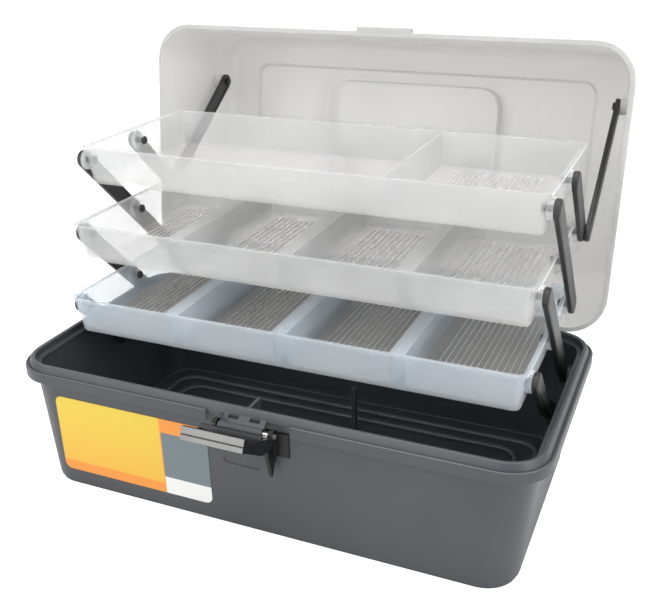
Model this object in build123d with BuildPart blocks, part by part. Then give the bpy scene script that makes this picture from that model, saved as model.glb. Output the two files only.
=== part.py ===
"""Tackle box with a lifting lid and three trays that swing up on arms.

X runs along the box, Y runs from the front to the back and Z is up.
The origin is the middle of the tub's underside. Sizes are in millimetres.
The box is drawn open: the lid leans back and the trays stand up in steps.
"""
import math
import os

from build123d import *

os.makedirs("parts", exist_ok=True)

# Tub
TUB_LENGTH = 365.0
TUB_WIDTH = 190.0
TUB_CORNER = 28.0
CREST_Z = 92.0
WALL_TOP_INSET_X = 7.0
WALL_TOP_INSET_Y = 4.8
WALL_TOP_LENGTH = TUB_LENGTH - 2 * WALL_TOP_INSET_X
WALL_TOP_WIDTH = TUB_WIDTH - 2 * WALL_TOP_INSET_Y
WALL_DRAFT_X = 8.0
WALL_DRAFT_Y = 1.2
FOOT_LENGTH = WALL_TOP_LENGTH - 2 * WALL_DRAFT_X
FOOT_WIDTH = WALL_TOP_WIDTH - 2 * WALL_DRAFT_Y
FOOT_CORNER = 22.0
FOOT_HEIGHT = 2.5
FOOT_INSET = 1.0
TUB_WALL = 2.2
TUB_FLOOR = 3.2
TONGUE_HEIGHT = 5.0
LEDGE_Z = CREST_Z - TONGUE_HEIGHT
LEDGE_THICK = 2.4
LEDGE_INSET = 10.4
WALL_UNDER_LEDGE = 1.0
WALL_TOP_Z = LEDGE_Z - WALL_UNDER_LEDGE
SKIRT_RISE = 1.0
SKIRT_TOP_Z = LEDGE_Z + SKIRT_RISE
SKIRT_HEIGHT = 7.5
SKIRT_BOTTOM_Z = SKIRT_TOP_Z - SKIRT_HEIGHT
SKIRT_THICK = 1.4
GROOVE = 0.8
TONGUE_TOP_INSET = 4.2
TONGUE_INNER_INSET = 7.0
FLOOR_BEAD_INSETS = (14.3, 27.0)
FLOOR_BEAD = 4.0
FLOOR_BEAD_HEIGHT = 2.8
FLOOR_BEAD_CORNER = 16.0
POST_X = 15.0
POST_Y = 46.0
POST_SIZE = (3.0, 6.0)
POST_HEIGHT = 40.0
GUSSET_X = -6.5
GUSSET_TOP_Z = LEDGE_Z - LEDGE_THICK
GUSSET_REACH = 26.0
GUSSET_EDGE = 10.0
GUSSET_THICK = 2.0
CUT_MARGIN = 1.0

# Lid hinge and lid
HINGE_OUT = 8.0
HINGE_DROP = 1.7
HINGE_Y = TUB_WIDTH / 2 + HINGE_OUT
HINGE_Z = CREST_Z - HINGE_DROP
LID_OPEN = 97.4
LID_OVER_X = 2.0
LID_OVER_FRONT = 1.2
LID_OVER_BACK = 12.0
LID_HALF_LENGTH = TUB_LENGTH / 2 + LID_OVER_X
LID_HALF_WIDTH = (TUB_WIDTH + LID_OVER_FRONT + LID_OVER_BACK) / 2
LID_MIDDLE_Y = (LID_OVER_BACK - LID_OVER_FRONT) / 2
LID_CORNER = 28.0
LID_SEAT_GAP = 0.6
LID_BOTTOM = SKIRT_TOP_Z + LID_SEAT_GAP - HINGE_Z
LID_LIP_TOP = 3.0
LID_STEP_TOP = 6.0
LID_STEP_OUT = 0.7
LID_WALL = 2.0
LID_WALL_CORNER = 27.0
LID_ROOF_CORNER = 25.0
LID_FOOT_INSET_X = 1.3
LID_FOOT_INSET_Y = 1.2
LID_ROOF_INSET_X = 8.0
LID_ROOF_INSET_Y = 6.7
LID_ROOF_H = 104.7
ROOF_FILLET = 9.0
CROWN_FILLET = ROOF_FILLET - 1.5
CROWN_FLAT = 0.5
CROWN_DEPTH = CROWN_FILLET + CROWN_FLAT
PANEL_INSET_X = 34.5
PANEL_INSET_Y = 29.2
PANEL_HALF_LENGTH = LID_HALF_LENGTH - PANEL_INSET_X
PANEL_HALF_WIDTH = LID_HALF_WIDTH - PANEL_INSET_Y
PANEL_RISE = 3.0
PANEL_CORNER = 13.0
PANEL_SLOPE = 30.0
HANDLE_HALF = 60.0
RECESS_CLEAR_X = 11.0
RECESS_INSET_Y = 14.0
RECESS_HALF_LENGTH = HANDLE_HALF + RECESS_CLEAR_X
RECESS_HALF_WIDTH = PANEL_HALF_WIDTH - RECESS_INSET_Y
RECESS_DEPTH = 12.0
RECESS_CORNER = 14.0
LATCH_HALF = 20.5
TAB_HALF = LATCH_HALF
TAB_SHIFT = 5.0
TAB_OUT = 3.2
TAB_HEIGHT = 7.0
TAB_CORNER = 1.2
KNUCKLE_PITCH = 120.0
KNUCKLE_X = (-KNUCKLE_PITCH, 0.0, KNUCKLE_PITCH)
KNUCKLE_R = 4.2
LID_KNUCKLE = 20.0
TUB_KNUCKLE = 12.0
KNUCKLE_GAP = 0.3
KNUCKLE_NOTCH = 0.4
HINGE_PIN_R = 2.0
RUN_GAP = 0.1

# Trays
TRAY_CLEAR_X = 22.5
TRAY_CLEAR_Y = 21.5
TRAY_LENGTH = TUB_LENGTH - 2 * TRAY_CLEAR_X
TRAY_WIDTH = TUB_WIDTH - 2 * TRAY_CLEAR_Y
TOP_TRAY_NARROWER = 17.0
TOP_TRAY_WIDTH = TRAY_WIDTH - TOP_TRAY_NARROWER
TRAY_HEIGHT = 26.6
TRAY_CORNER = 6.0
TRAY_CORNER_LEAST = 2.5
TRAY_WALL = 1.6
TRAY_FLOOR = 1.6
TRAY_LIP = 1.2
TRAY_LIP_HEIGHT = 2.2
TRAY_DRAFT_X = 3.0
TRAY_DRAFT_Y = 4.0
PIVOT_BELOW_RIM = 10.5
TRAY_FRONT = 16.5
TRAY_BACK = 8.9
TOP_TRAY_FRONT = 8.6
COMPARTMENTS = 4
DIVIDER_X = tuple(TRAY_LENGTH * (n / COMPARTMENTS - 1 / 2) for n in range(1, COMPARTMENTS))
DIVIDER_WIDTH = 10.0
DIVIDER_WALL = 1.5
DIVIDER_DROP = 1.0
TOP_DIVIDER_X = 58.0
TOP_DIVIDER_WALL = 1.8
TRAY_BOSS_GAP = 0.3
PIN_HEAD_IN = 5.0
TRAY_END_IN = 3.0
PIN_HEAD_X = TRAY_LENGTH / 2 - PIN_HEAD_IN
TRAY_END_X = TRAY_LENGTH / 2 - TRAY_END_IN
PIN_SEAT = 0.8

# Linkage
ARM_OPEN = 134.8
BASE_LINK = 67.5
LEVEL_LINK = 70.0
PIVOT_PITCH = (TRAY_WIDTH - TRAY_FRONT - TRAY_BACK) / 2
BASE_REAR_IN = 21.0
BASE_REAR_DROP = 25.5
BASE_REAR_Y = TUB_WIDTH / 2 - BASE_REAR_IN
BASE_REAR_Z = CREST_Z - BASE_REAR_DROP
ARM_GAP = 1.0
ARM_IN_X = TRAY_LENGTH / 2 + ARM_GAP
ARM_THICK = 4.0
ARM_R = 6.25
FRONT_JOGGLE = 4.0
REAR_JOGGLE = 0.8
JOGGLE_START = 12.0
JOGGLE_END = 22.0
ARM_GROOVE = 0.8
ARM_RIM = 1.8
PIN_R = 2.0
PIN_HEAD_R = 3.0
PIN_HEAD = 1.8
HEAD_GAP = 0.2
LINK_GAP = 0.3
LINK_THICK = 3.5
LINK_R = 6.0
LID_BOSS_AHEAD = 49.0
LID_BOSS_S = HINGE_Y + LID_BOSS_AHEAD
LID_BOSS_H = 77.0
LID_BOSS_R = 6.0
LID_BOSS_ROOT = 0.5
BOSS_R = 7.0

# Latch
LATCH_X = 1.0
CUT_CLEAR = 8.5
CUT_HALF = LATCH_HALF + CUT_CLEAR
LATCH_PIN_OUT_Y = 4.0
LATCH_PIN_DROP = 10.0
LATCH_PIN_Y = -TUB_WIDTH / 2 - LATCH_PIN_OUT_Y
LATCH_PIN_Z = CREST_Z - LATCH_PIN_DROP
LATCH_PIN_R = 1.6
LATCH_PIN_OUT = 1.0
BARREL_R = 3.2
EAR = 2.8
EAR_GAP = 2.9
PLATE_SHIFT = 2.2
PLATE_X = LATCH_X - PLATE_SHIFT
PLATE_HALF = LATCH_HALF - EAR - EAR_GAP
PLATE_ROOT_IN = 0.4
PLATE_OVER_SKIRT = 0.1
PLATE_ROOT_Y = -WALL_TOP_WIDTH / 2 + PLATE_ROOT_IN
PLATE_ROOT_TOP = SKIRT_TOP_Z + PLATE_OVER_SKIRT
PLATE_ROOT_LOW = WALL_TOP_Z
PLATE_SHOULDER = 2.0
WINDOW_HALF = 3.5
WINDOW_FROM = 3.6
WINDOW_TO = 6.8
SLOT_X = -7.0
SLOT_BELOW_PIN = 31.0
SLOT_Z = LATCH_PIN_Z - SLOT_BELOW_PIN
SLOT_LONG = 28.0
SLOT_WIDE = 5.5
SLOT_DEEP = 0.8
LATCH_LENGTH = 37.0
LATCH_TILT = 26.0
EAR_R = 4.2
EAR_LOW = 1.0
EAR_ROOT = 4.5
EAR_END = 3.0
EAR_HEEL = (5.5, 9.0)
EAR_BELLY = (13.0, 10.6)
LEVER_PLATE = 2.6
LEVER_PLATE_START = 5.5
LEVER_TOP = 6.9
GRIP_HEIGHT = 8.3
GRIP_THICK = 3.0
GRIP_OVERLAP = 0.5
GRIP_GROOVE = 0.8
GRIP_GROOVE_HALF = 0.3
GRIP_GROOVE_DOWN = 3.6
HOOK_START = 16.0
HOOK_THICK = 2.0
HOOK_LOW = -1.5
BRACKET_SIDE = 5.5
BRACKET_HALF = LATCH_HALF + BRACKET_SIDE
BRACKET_BACK = 1.4
BRACKET_GAP = 0.5
BRACKET_HEIGHT = 17.0
BRACKET_TOP = SKIRT_BOTTOM_Z - BRACKET_GAP
BRACKET_LOW = BRACKET_TOP - BRACKET_HEIGHT
CHEEK = 2.8
CHEEK_OUT_Y = 5.5
CHEEK_DROP = 4.0
CHEEK_LENGTH = 26.5
CHEEK_OUT = TUB_WIDTH / 2 + CHEEK_OUT_Y
CHEEK_TOP = BRACKET_TOP - CHEEK_DROP
CHEEK_GAP = 1.2
CHEEK_HALF = LATCH_HALF - EAR - CHEEK_GAP
CHEEK_DEEP = 8.0
CHEEK_FOOT = 15.0
FANG_TIP = CHEEK_TOP - CHEEK_LENGTH
FANG_OUT = 5.8

# Label
LABEL_FROM_CORNER = 17.9
LABEL_LENGTH = 118.1
LABEL_LEFT = -FOOT_LENGTH / 2 + LABEL_FROM_CORNER
LABEL_RIGHT = LABEL_LEFT + LABEL_LENGTH
LABEL_BELOW_SKIRT = 10.1
LABEL_HEIGHT = 57.9
LABEL_TOP = SKIRT_BOTTOM_Z - LABEL_BELOW_SKIRT
LABEL_BOTTOM = LABEL_TOP - LABEL_HEIGHT
LABEL_THICK = 0.35
LABEL_CORNER = 5.0

# Carry handle
HANDLE_S = HINGE_Y - LID_MIDDLE_Y
HANDLE_CLEAR_S = 18.4
HANDLE_REACH = RECESS_HALF_WIDTH - HANDLE_CLEAR_S
HANDLE_TOP = 3.6
HANDLE_THICK = 7.0
HANDLE_BAR = 11.0
HANDLE_CORNER = 3.4
HANDLE_INNER_CORNER = 6.0
HANDLE_LUG = 8.0
LUG_LENGTH = 12.0
LUG_ABOVE_PIN = 4.5
LUG_ROOT = 1.0
HANDLE_PIN_SHORT = 1.2
HANDLE_PIN_R = 2.0
HANDLE_PIVOT_UP = 5.3
HANDLE_H = LID_ROOF_H + PANEL_RISE - RECESS_DEPTH + HANDLE_PIVOT_UP

open_rad = math.radians(LID_OPEN)
LID_PLANE = Plane(
    origin=(0, HINGE_Y, HINGE_Z),
    x_dir=(1, 0, 0),
    z_dir=(0, math.sin(open_rad), math.cos(open_rad)),
)


def lid_point(x, y, h):
    """A point of the lid: y is where it lies when closed, measured from the hinge."""
    return LID_PLANE.from_local_coords(Vector(x, y, h))


def arm_step(length, angle=ARM_OPEN):
    """How far an arm of this length carries a pivot in Y and in Z."""
    return (length * math.cos(math.radians(angle)), length * math.sin(math.radians(angle)))


def shifted(point, step):
    return (point[0] + step[0], point[1] + step[1])


# Pivot places as (y, z)
BASE_REAR = (BASE_REAR_Y, BASE_REAR_Z)
BASE_FRONT = (BASE_REAR_Y - PIVOT_PITCH, BASE_REAR_Z)
LOW_REAR = shifted(BASE_REAR, arm_step(BASE_LINK))
LOW_FRONT = (LOW_REAR[0] - PIVOT_PITCH, LOW_REAR[1])
LOW_BACK = (LOW_REAR[0] + PIVOT_PITCH, LOW_REAR[1])
MID_FRONT = shifted(LOW_REAR, arm_step(LEVEL_LINK))
MID_REAR = (MID_FRONT[0] + PIVOT_PITCH, MID_FRONT[1])
MID_BACK = (MID_REAR[0] + PIVOT_PITCH, MID_REAR[1])
TOP_FRONT = shifted(MID_REAR, arm_step(LEVEL_LINK))
TOP_REAR = (TOP_FRONT[0] + PIVOT_PITCH, TOP_FRONT[1])

SIDES = {"left": -1, "right": 1}


def finish(part, name):
    """Names a piece and writes its file."""
    part.label = name
    export_step(part, "parts/" + name + ".step")
    print(name, round(part.volume / 1000, 2), "cm3")


def rounded(length, width, corner, z, y=0.0):
    """Face of a rounded rectangle at a height."""
    with BuildSketch(Plane.XY.offset(z), mode=Mode.PRIVATE) as outline:
        with Locations((0, y)):
            RectangleRounded(length, width, corner)
    return outline.sketch


def lid_face(half_length, half_width, corner, h):
    """Face of a rounded rectangle about the middle of the lid."""
    with BuildSketch(LID_PLANE.offset(h), mode=Mode.PRIVATE) as outline:
        with Locations((0, LID_MIDDLE_Y - HINGE_Y)):
            RectangleRounded(2 * half_length, 2 * half_width, corner)
    return outline.sketch


def rim_face(inset, z):
    return rounded(TUB_LENGTH - 2 * inset, TUB_WIDTH - 2 * inset, TUB_CORNER - inset, z)


def tub_outline(inset, z):
    """The tub's wall at a height, moved inwards by the inset."""
    share = z / WALL_TOP_Z
    length = FOOT_LENGTH + (WALL_TOP_LENGTH - FOOT_LENGTH) * share
    width = FOOT_WIDTH + (WALL_TOP_WIDTH - FOOT_WIDTH) * share
    return rounded(length - 2 * inset, width - 2 * inset, FOOT_CORNER - inset + 2 * share, z)


def wall_y(z):
    """Distance of the tub's front face from the middle at a height."""
    return (FOOT_WIDTH + (WALL_TOP_WIDTH - FOOT_WIDTH) * z / WALL_TOP_Z) / 2


def wall_x(z):
    """Distance of the tub's end face from the middle at a height."""
    return (FOOT_LENGTH + (WALL_TOP_LENGTH - FOOT_LENGTH) * z / WALL_TOP_Z) / 2


def rod(x_from, x_to, radius, y, z, mode=Mode.ADD):
    """A round bar along X."""
    end_plane = Plane(origin=(x_from, y, z), x_dir=(0, 1, 0), z_dir=(1, 0, 0))
    with BuildSketch(end_plane, mode=Mode.PRIVATE) as section:
        Circle(radius)
    extrude(section.sketch, amount=x_to - x_from, mode=mode)


def paired_rods(near, far, radius, y, z, mode=Mode.ADD):
    """The same rod on the left and on the right, between two distances from the middle."""
    rod(-far, -near, radius, y, z, mode=mode)
    rod(near, far, radius, y, z, mode=mode)


def block(x_from, x_to, y_from, y_to, z_from, z_to, mode=Mode.ADD):
    """A plain block between limits."""
    with BuildSketch(Plane.XY.offset(z_from), mode=Mode.PRIVATE) as section:
        with Locations(((x_from + x_to) / 2, (y_from + y_to) / 2)):
            Rectangle(x_to - x_from, y_to - y_from)
    extrude(section.sketch, amount=z_to - z_from, mode=mode)


def side_shape(points, x_from, x_to, mode=Mode.ADD):
    """A polygon given in Y and Z, extruded along X."""
    end_plane = Plane(origin=(x_from, 0, 0), x_dir=(0, 1, 0), z_dir=(1, 0, 0))
    with BuildSketch(end_plane, mode=Mode.PRIVATE) as section:
        Polygon(*points, align=None)
    extrude(section.sketch, amount=x_to - x_from, mode=mode)


def arm_boss(side, pivot, joggle):
    """A boss from the tub's end wall to the arm beside it, with a hole for its pin."""
    y, z = pivot
    near = ARM_IN_X + joggle + ARM_THICK + LINK_GAP
    far = wall_x(z)
    axis_plane = Plane(origin=(side * near, y, z), x_dir=(0, 1, 0), z_dir=(side, 0, 0))
    boss = axis_plane * Cylinder(BOSS_R, far - near, align=(Align.CENTER, Align.CENTER, Align.MIN))
    hole = axis_plane * Cylinder(PIN_R, far - near, align=(Align.CENTER, Align.CENTER, Align.MIN))
    return boss & tub_core, hole & tub_core


# Space inside the middle of the tub's walls, which keeps the bosses and their holes from breaking out
tub_core = loft([tub_outline(TUB_WALL / 2, FOOT_HEIGHT), tub_outline(TUB_WALL / 2, WALL_TOP_Z)], ruled=True)
BASE_PIVOTS = ((BASE_FRONT, FRONT_JOGGLE), (BASE_REAR, REAR_JOGGLE))
arm_bosses = [arm_boss(side, pivot, joggle) for side in SIDES.values() for pivot, joggle in BASE_PIVOTS]

# Tub shell with its rim, floor beads, hinge barrels and latch plate
with BuildPart() as tub:
    loft([tub_outline(0, FOOT_HEIGHT), tub_outline(0, WALL_TOP_Z)], ruled=True)
    extrude(tub_outline(FOOT_INSET, 0), amount=FOOT_HEIGHT)
    extrude(rim_face(0, LEDGE_Z - LEDGE_THICK), amount=LEDGE_THICK)
    extrude(rim_face(0, SKIRT_BOTTOM_Z), amount=SKIRT_TOP_Z - SKIRT_BOTTOM_Z)
    extrude(
        rim_face(SKIRT_THICK, SKIRT_BOTTOM_Z),
        amount=LEDGE_Z - LEDGE_THICK - SKIRT_BOTTOM_Z,
        mode=Mode.SUBTRACT,
    )
    loft([tub_outline(0, FOOT_HEIGHT), tub_outline(0, WALL_TOP_Z)], ruled=True)
    extrude(rim_face(SKIRT_THICK, LEDGE_Z), amount=SKIRT_TOP_Z - LEDGE_Z, mode=Mode.SUBTRACT)
    loft([rim_face(SKIRT_THICK + GROOVE, LEDGE_Z), rim_face(TONGUE_TOP_INSET, CREST_Z)], ruled=True)
    extrude(rim_face(TONGUE_INNER_INSET, LEDGE_Z), amount=CREST_Z - LEDGE_Z, mode=Mode.SUBTRACT)
    extrude(rim_face(LEDGE_INSET, LEDGE_Z - LEDGE_THICK), amount=LEDGE_THICK, mode=Mode.SUBTRACT)
    loft(
        [tub_outline(TUB_WALL, TUB_FLOOR), tub_outline(TUB_WALL, LEDGE_Z - LEDGE_THICK)],
        ruled=True,
        mode=Mode.SUBTRACT,
    )
    # Two raised beads run round the floor
    for inset in FLOOR_BEAD_INSETS:
        length = FOOT_LENGTH - 2 * inset
        width = FOOT_WIDTH - 2 * inset
        inner_corner = FLOOR_BEAD_CORNER - FLOOR_BEAD
        with BuildSketch(Plane.XY.offset(TUB_FLOOR)):
            RectangleRounded(length, width, FLOOR_BEAD_CORNER)
            inner = (length - 2 * FLOOR_BEAD, width - 2 * FLOOR_BEAD)
            RectangleRounded(*inner, inner_corner, mode=Mode.SUBTRACT)
        extrude(amount=FLOOR_BEAD_HEIGHT)
    # Upright post and the gusset behind the latch
    block(
        POST_X - POST_SIZE[0] / 2,
        POST_X + POST_SIZE[0] / 2,
        POST_Y - POST_SIZE[1] / 2,
        POST_Y + POST_SIZE[1] / 2,
        TUB_FLOOR,
        POST_HEIGHT,
    )
    gusset_y = -wall_y(GUSSET_TOP_Z) + TUB_WALL / 2
    side_shape(
        [
            (gusset_y, GUSSET_TOP_Z),
            (gusset_y + GUSSET_REACH, GUSSET_TOP_Z),
            (gusset_y + GUSSET_REACH, GUSSET_TOP_Z - GUSSET_EDGE),
            (gusset_y, GUSSET_TOP_Z - GUSSET_EDGE - GUSSET_REACH),
        ],
        GUSSET_X - GUSSET_THICK / 2,
        GUSSET_X + GUSSET_THICK / 2,
    )
    # Bosses that hold the base pins
    for boss, hole in arm_bosses:
        add(boss)
        add(hole, mode=Mode.SUBTRACT)
    # Hinge barrels behind the rim
    for x in KNUCKLE_X:
        for end in (-1, 1):
            inner = x + end * (LID_KNUCKLE / 2 + KNUCKLE_GAP)
            outer = inner + end * TUB_KNUCKLE
            low, high = min(inner, outer), max(inner, outer)
            block(low, high, TUB_WIDTH / 2 - SKIRT_THICK, HINGE_Y, HINGE_Z - KNUCKLE_R, SKIRT_TOP_Z)
            rod(low, high, KNUCKLE_R, HINGE_Y, HINGE_Z)
            rod(low, high, HINGE_PIN_R, HINGE_Y, HINGE_Z, mode=Mode.SUBTRACT)
    # The skirt is cut away at the latch, where a sloping plate carries the latch pin
    block(
        LATCH_X - CUT_HALF,
        LATCH_X + CUT_HALF,
        -TUB_WIDTH / 2 - CUT_MARGIN,
        -TUB_WIDTH / 2 + SKIRT_THICK + GROOVE,
        SKIRT_BOTTOM_Z - CUT_MARGIN,
        CREST_Z,
        mode=Mode.SUBTRACT,
    )
    side_shape(
        [
            (PLATE_ROOT_Y, PLATE_ROOT_TOP),
            (PLATE_ROOT_Y - PLATE_SHOULDER, PLATE_ROOT_TOP),
            (LATCH_PIN_Y - LATCH_PIN_R / 2, LATCH_PIN_Z + LATCH_PIN_R),
            (LATCH_PIN_Y + LATCH_PIN_R / 2, LATCH_PIN_Z - LATCH_PIN_R / 2),
            (PLATE_ROOT_Y - PLATE_SHOULDER / 2, PLATE_ROOT_LOW),
            (PLATE_ROOT_Y, PLATE_ROOT_LOW),
        ],
        PLATE_X - PLATE_HALF,
        PLATE_X + PLATE_HALF,
    )
    rod(PLATE_X - PLATE_HALF, PLATE_X + PLATE_HALF, BARREL_R, LATCH_PIN_Y, LATCH_PIN_Z)
    rod(PLATE_X - PLATE_HALF, PLATE_X + PLATE_HALF, LATCH_PIN_R, LATCH_PIN_Y, LATCH_PIN_Z, mode=Mode.SUBTRACT)
    for window in (-1, 1):
        middle = PLATE_X + window * PLATE_HALF / 2
        block(
            middle - WINDOW_HALF,
            middle + WINDOW_HALF,
            LATCH_PIN_Y + WINDOW_FROM,
            LATCH_PIN_Y + WINDOW_TO,
            SKIRT_BOTTOM_Z,
            CREST_Z,
            mode=Mode.SUBTRACT,
        )
    # Shallow slot in the front wall below the latch
    with BuildSketch(Plane(origin=(SLOT_X, -wall_y(SLOT_Z), SLOT_Z), x_dir=(1, 0, 0), z_dir=(0, -1, 0))):
        SlotOverall(SLOT_LONG, SLOT_WIDE)
    extrude(amount=-SLOT_DEEP, mode=Mode.SUBTRACT)
finish(tub.part, "base_tub")

# Lid wall sizes at its foot and at its roof, outside and inside
wall_foot = (LID_HALF_LENGTH - LID_FOOT_INSET_X, LID_HALF_WIDTH - LID_FOOT_INSET_Y)
wall_roof = (LID_HALF_LENGTH - LID_ROOF_INSET_X, LID_HALF_WIDTH - LID_ROOF_INSET_Y)
hollow_foot = (wall_foot[0] - LID_WALL, wall_foot[1] - LID_WALL, LID_WALL_CORNER - LID_WALL)
hollow_roof = (wall_roof[0] - LID_WALL, wall_roof[1] - LID_WALL, LID_ROOF_CORNER - LID_WALL)
crown_h = LID_ROOF_H - LID_WALL - CROWN_DEPTH

# Rounded top of the hollow
with BuildPart() as crown:
    extrude(lid_face(*hollow_roof, crown_h), amount=CROWN_DEPTH)
    crown_edges = crown.part.faces().sort_by(Axis((0, 0, 0), LID_PLANE.z_dir))[-1].edges()
    fillet(crown_edges, CROWN_FILLET)

# Lid shell, drawn in the plane of its rim
with BuildPart() as lid:
    loft(
        [
            lid_face(*wall_foot, LID_WALL_CORNER, LID_BOTTOM),
            lid_face(*wall_roof, LID_ROOF_CORNER, LID_ROOF_H),
        ],
        ruled=True,
    )
    roof_edges = lid.part.faces().sort_by(Axis((0, 0, 0), LID_PLANE.z_dir))[-1].edges()
    fillet(roof_edges, ROOF_FILLET)
    extrude(
        lid_face(LID_HALF_LENGTH, LID_HALF_WIDTH, LID_CORNER, LID_BOTTOM),
        amount=LID_LIP_TOP - LID_BOTTOM,
    )
    extrude(
        lid_face(wall_foot[0] + LID_STEP_OUT, wall_foot[1] + LID_STEP_OUT, LID_WALL_CORNER, LID_LIP_TOP),
        amount=LID_STEP_TOP - LID_LIP_TOP,
    )
    extrude(
        lid_face(PANEL_HALF_LENGTH, PANEL_HALF_WIDTH, PANEL_CORNER, LID_ROOF_H - CUT_MARGIN),
        amount=PANEL_RISE + CUT_MARGIN,
        taper=PANEL_SLOPE,
    )
    # Web that carries the tab the latch hooks over
    with BuildSketch(LID_PLANE.offset(LID_BOTTOM)):
        with Locations((LATCH_X + TAB_SHIFT, LID_MIDDLE_Y - HINGE_Y - LID_HALF_WIDTH)):
            RectangleRounded(2 * TAB_HALF, 2 * TAB_OUT, TAB_CORNER)
    extrude(amount=TAB_HEIGHT)
    # Hollow
    loft(
        [lid_face(*hollow_foot, LID_BOTTOM), lid_face(*hollow_roof, crown_h)],
        ruled=True,
        mode=Mode.SUBTRACT,
    )
    add(crown.part, mode=Mode.SUBTRACT)
    panel_inside = (PANEL_HALF_LENGTH - LID_WALL, PANEL_HALF_WIDTH - LID_WALL, PANEL_CORNER - LID_WALL)
    extrude(
        lid_face(*panel_inside, LID_ROOF_H - LID_WALL - CUT_MARGIN),
        amount=PANEL_RISE + CUT_MARGIN,
        taper=PANEL_SLOPE,
        mode=Mode.SUBTRACT,
    )
    # Recess for the carry handle
    recess_top = LID_ROOF_H + PANEL_RISE
    recess_floor = recess_top - RECESS_DEPTH
    well = (RECESS_HALF_LENGTH + LID_WALL, RECESS_HALF_WIDTH + LID_WALL, RECESS_CORNER + LID_WALL)
    extrude(lid_face(*well, recess_floor - LID_WALL), amount=RECESS_DEPTH + LID_WALL)
    extrude(
        lid_face(RECESS_HALF_LENGTH, RECESS_HALF_WIDTH, RECESS_CORNER, recess_floor),
        amount=RECESS_DEPTH,
        mode=Mode.SUBTRACT,
    )
    # Bosses for the lid links
    centre = lid_point(0, -LID_BOSS_S, LID_BOSS_H)
    near = ARM_IN_X + ARM_THICK + LINK_GAP + LINK_THICK + LINK_GAP
    far = LID_HALF_LENGTH - LID_ROOF_INSET_X + LID_BOSS_ROOT
    paired_rods(near, far, LID_BOSS_R, centre.Y, centre.Z)
    paired_rods(near, far, PIN_R, centre.Y, centre.Z, mode=Mode.SUBTRACT)
    # Hinge barrels in the rear lip, with a notch beside them for each barrel of the tub
    notch = 2 * KNUCKLE_GAP + TUB_KNUCKLE
    for x in KNUCKLE_X:
        low = x - LID_KNUCKLE / 2
        high = x + LID_KNUCKLE / 2
        for start in (low - notch, high):
            rod(start, start + notch, KNUCKLE_R + KNUCKLE_NOTCH, HINGE_Y, HINGE_Z, mode=Mode.SUBTRACT)
        rod(low, high, KNUCKLE_R, HINGE_Y, HINGE_Z)
        rod(low, high, HINGE_PIN_R + RUN_GAP, HINGE_Y, HINGE_Z, mode=Mode.SUBTRACT)
    # Lugs for the carry handle
    for side in SIDES.values():
        with BuildSketch(LID_PLANE.offset(recess_floor - LUG_ROOT)):
            with Locations((side * (HANDLE_HALF + HANDLE_LUG / 2 + LINK_GAP), -HANDLE_S)):
                Rectangle(HANDLE_LUG, LUG_LENGTH)
        extrude(amount=HANDLE_H - recess_floor + LUG_ABOVE_PIN)
    centre = lid_point(0, -HANDLE_S, HANDLE_H)
    near = HANDLE_HALF + LINK_GAP
    far = HANDLE_HALF + LINK_GAP + HANDLE_LUG
    paired_rods(near, far, HANDLE_PIN_R, centre.Y, centre.Z, mode=Mode.SUBTRACT)
finish(lid.part, "lid_shell")

# Carry handle: a bow that hangs from its two pins while the lid stands open
handle_pivot = lid_point(0, -HANDLE_S, HANDLE_H)
handle_plane = Plane(
    origin=(0, handle_pivot.Y + HANDLE_THICK / 2, handle_pivot.Z),
    x_dir=(1, 0, 0),
    z_dir=(0, -1, 0),
)
with BuildPart() as handle:
    with BuildSketch(handle_plane):
        with Locations((0, (HANDLE_TOP - HANDLE_REACH) / 2)):
            RectangleRounded(2 * HANDLE_HALF, HANDLE_TOP + HANDLE_REACH, HANDLE_CORNER)
        with Locations((0, HANDLE_BAR - HANDLE_REACH)):
            RectangleRounded(
                2 * (HANDLE_HALF - HANDLE_BAR),
                2 * HANDLE_REACH,
                HANDLE_INNER_CORNER,
                align=(Align.CENTER, Align.MIN),
                mode=Mode.SUBTRACT,
            )
    extrude(amount=HANDLE_THICK)
    near = HANDLE_HALF - HANDLE_BAR - CUT_MARGIN
    far = HANDLE_HALF + CUT_MARGIN
    paired_rods(near, far, HANDLE_PIN_R + RUN_GAP, handle_pivot.Y, handle_pivot.Z, mode=Mode.SUBTRACT)
finish(handle.part, "carry_handle")

with BuildPart() as handle_pins:
    pin_from = HANDLE_HALF - HANDLE_BAR - HANDLE_PIN_SHORT
    pin_to = HANDLE_HALF + LINK_GAP + HANDLE_LUG
    paired_rods(pin_from, pin_to, HANDLE_PIN_R, handle_pivot.Y, handle_pivot.Z)
finish(handle_pins.part, "handle_pins")

with BuildPart() as hinge_pins:
    pin_half = LID_KNUCKLE / 2 + KNUCKLE_GAP + TUB_KNUCKLE
    for x in KNUCKLE_X:
        rod(x - pin_half, x + pin_half, HINGE_PIN_R, HINGE_Y, HINGE_Z)
finish(hinge_pins.part, "hinge_pins")


def tray_face(width, middle, inset_x, inset_y, z):
    corner = max(TRAY_CORNER - max(inset_x, inset_y), TRAY_CORNER_LEAST)
    return rounded(TRAY_LENGTH - 2 * inset_x, width - 2 * inset_y, corner, z, middle)


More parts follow.
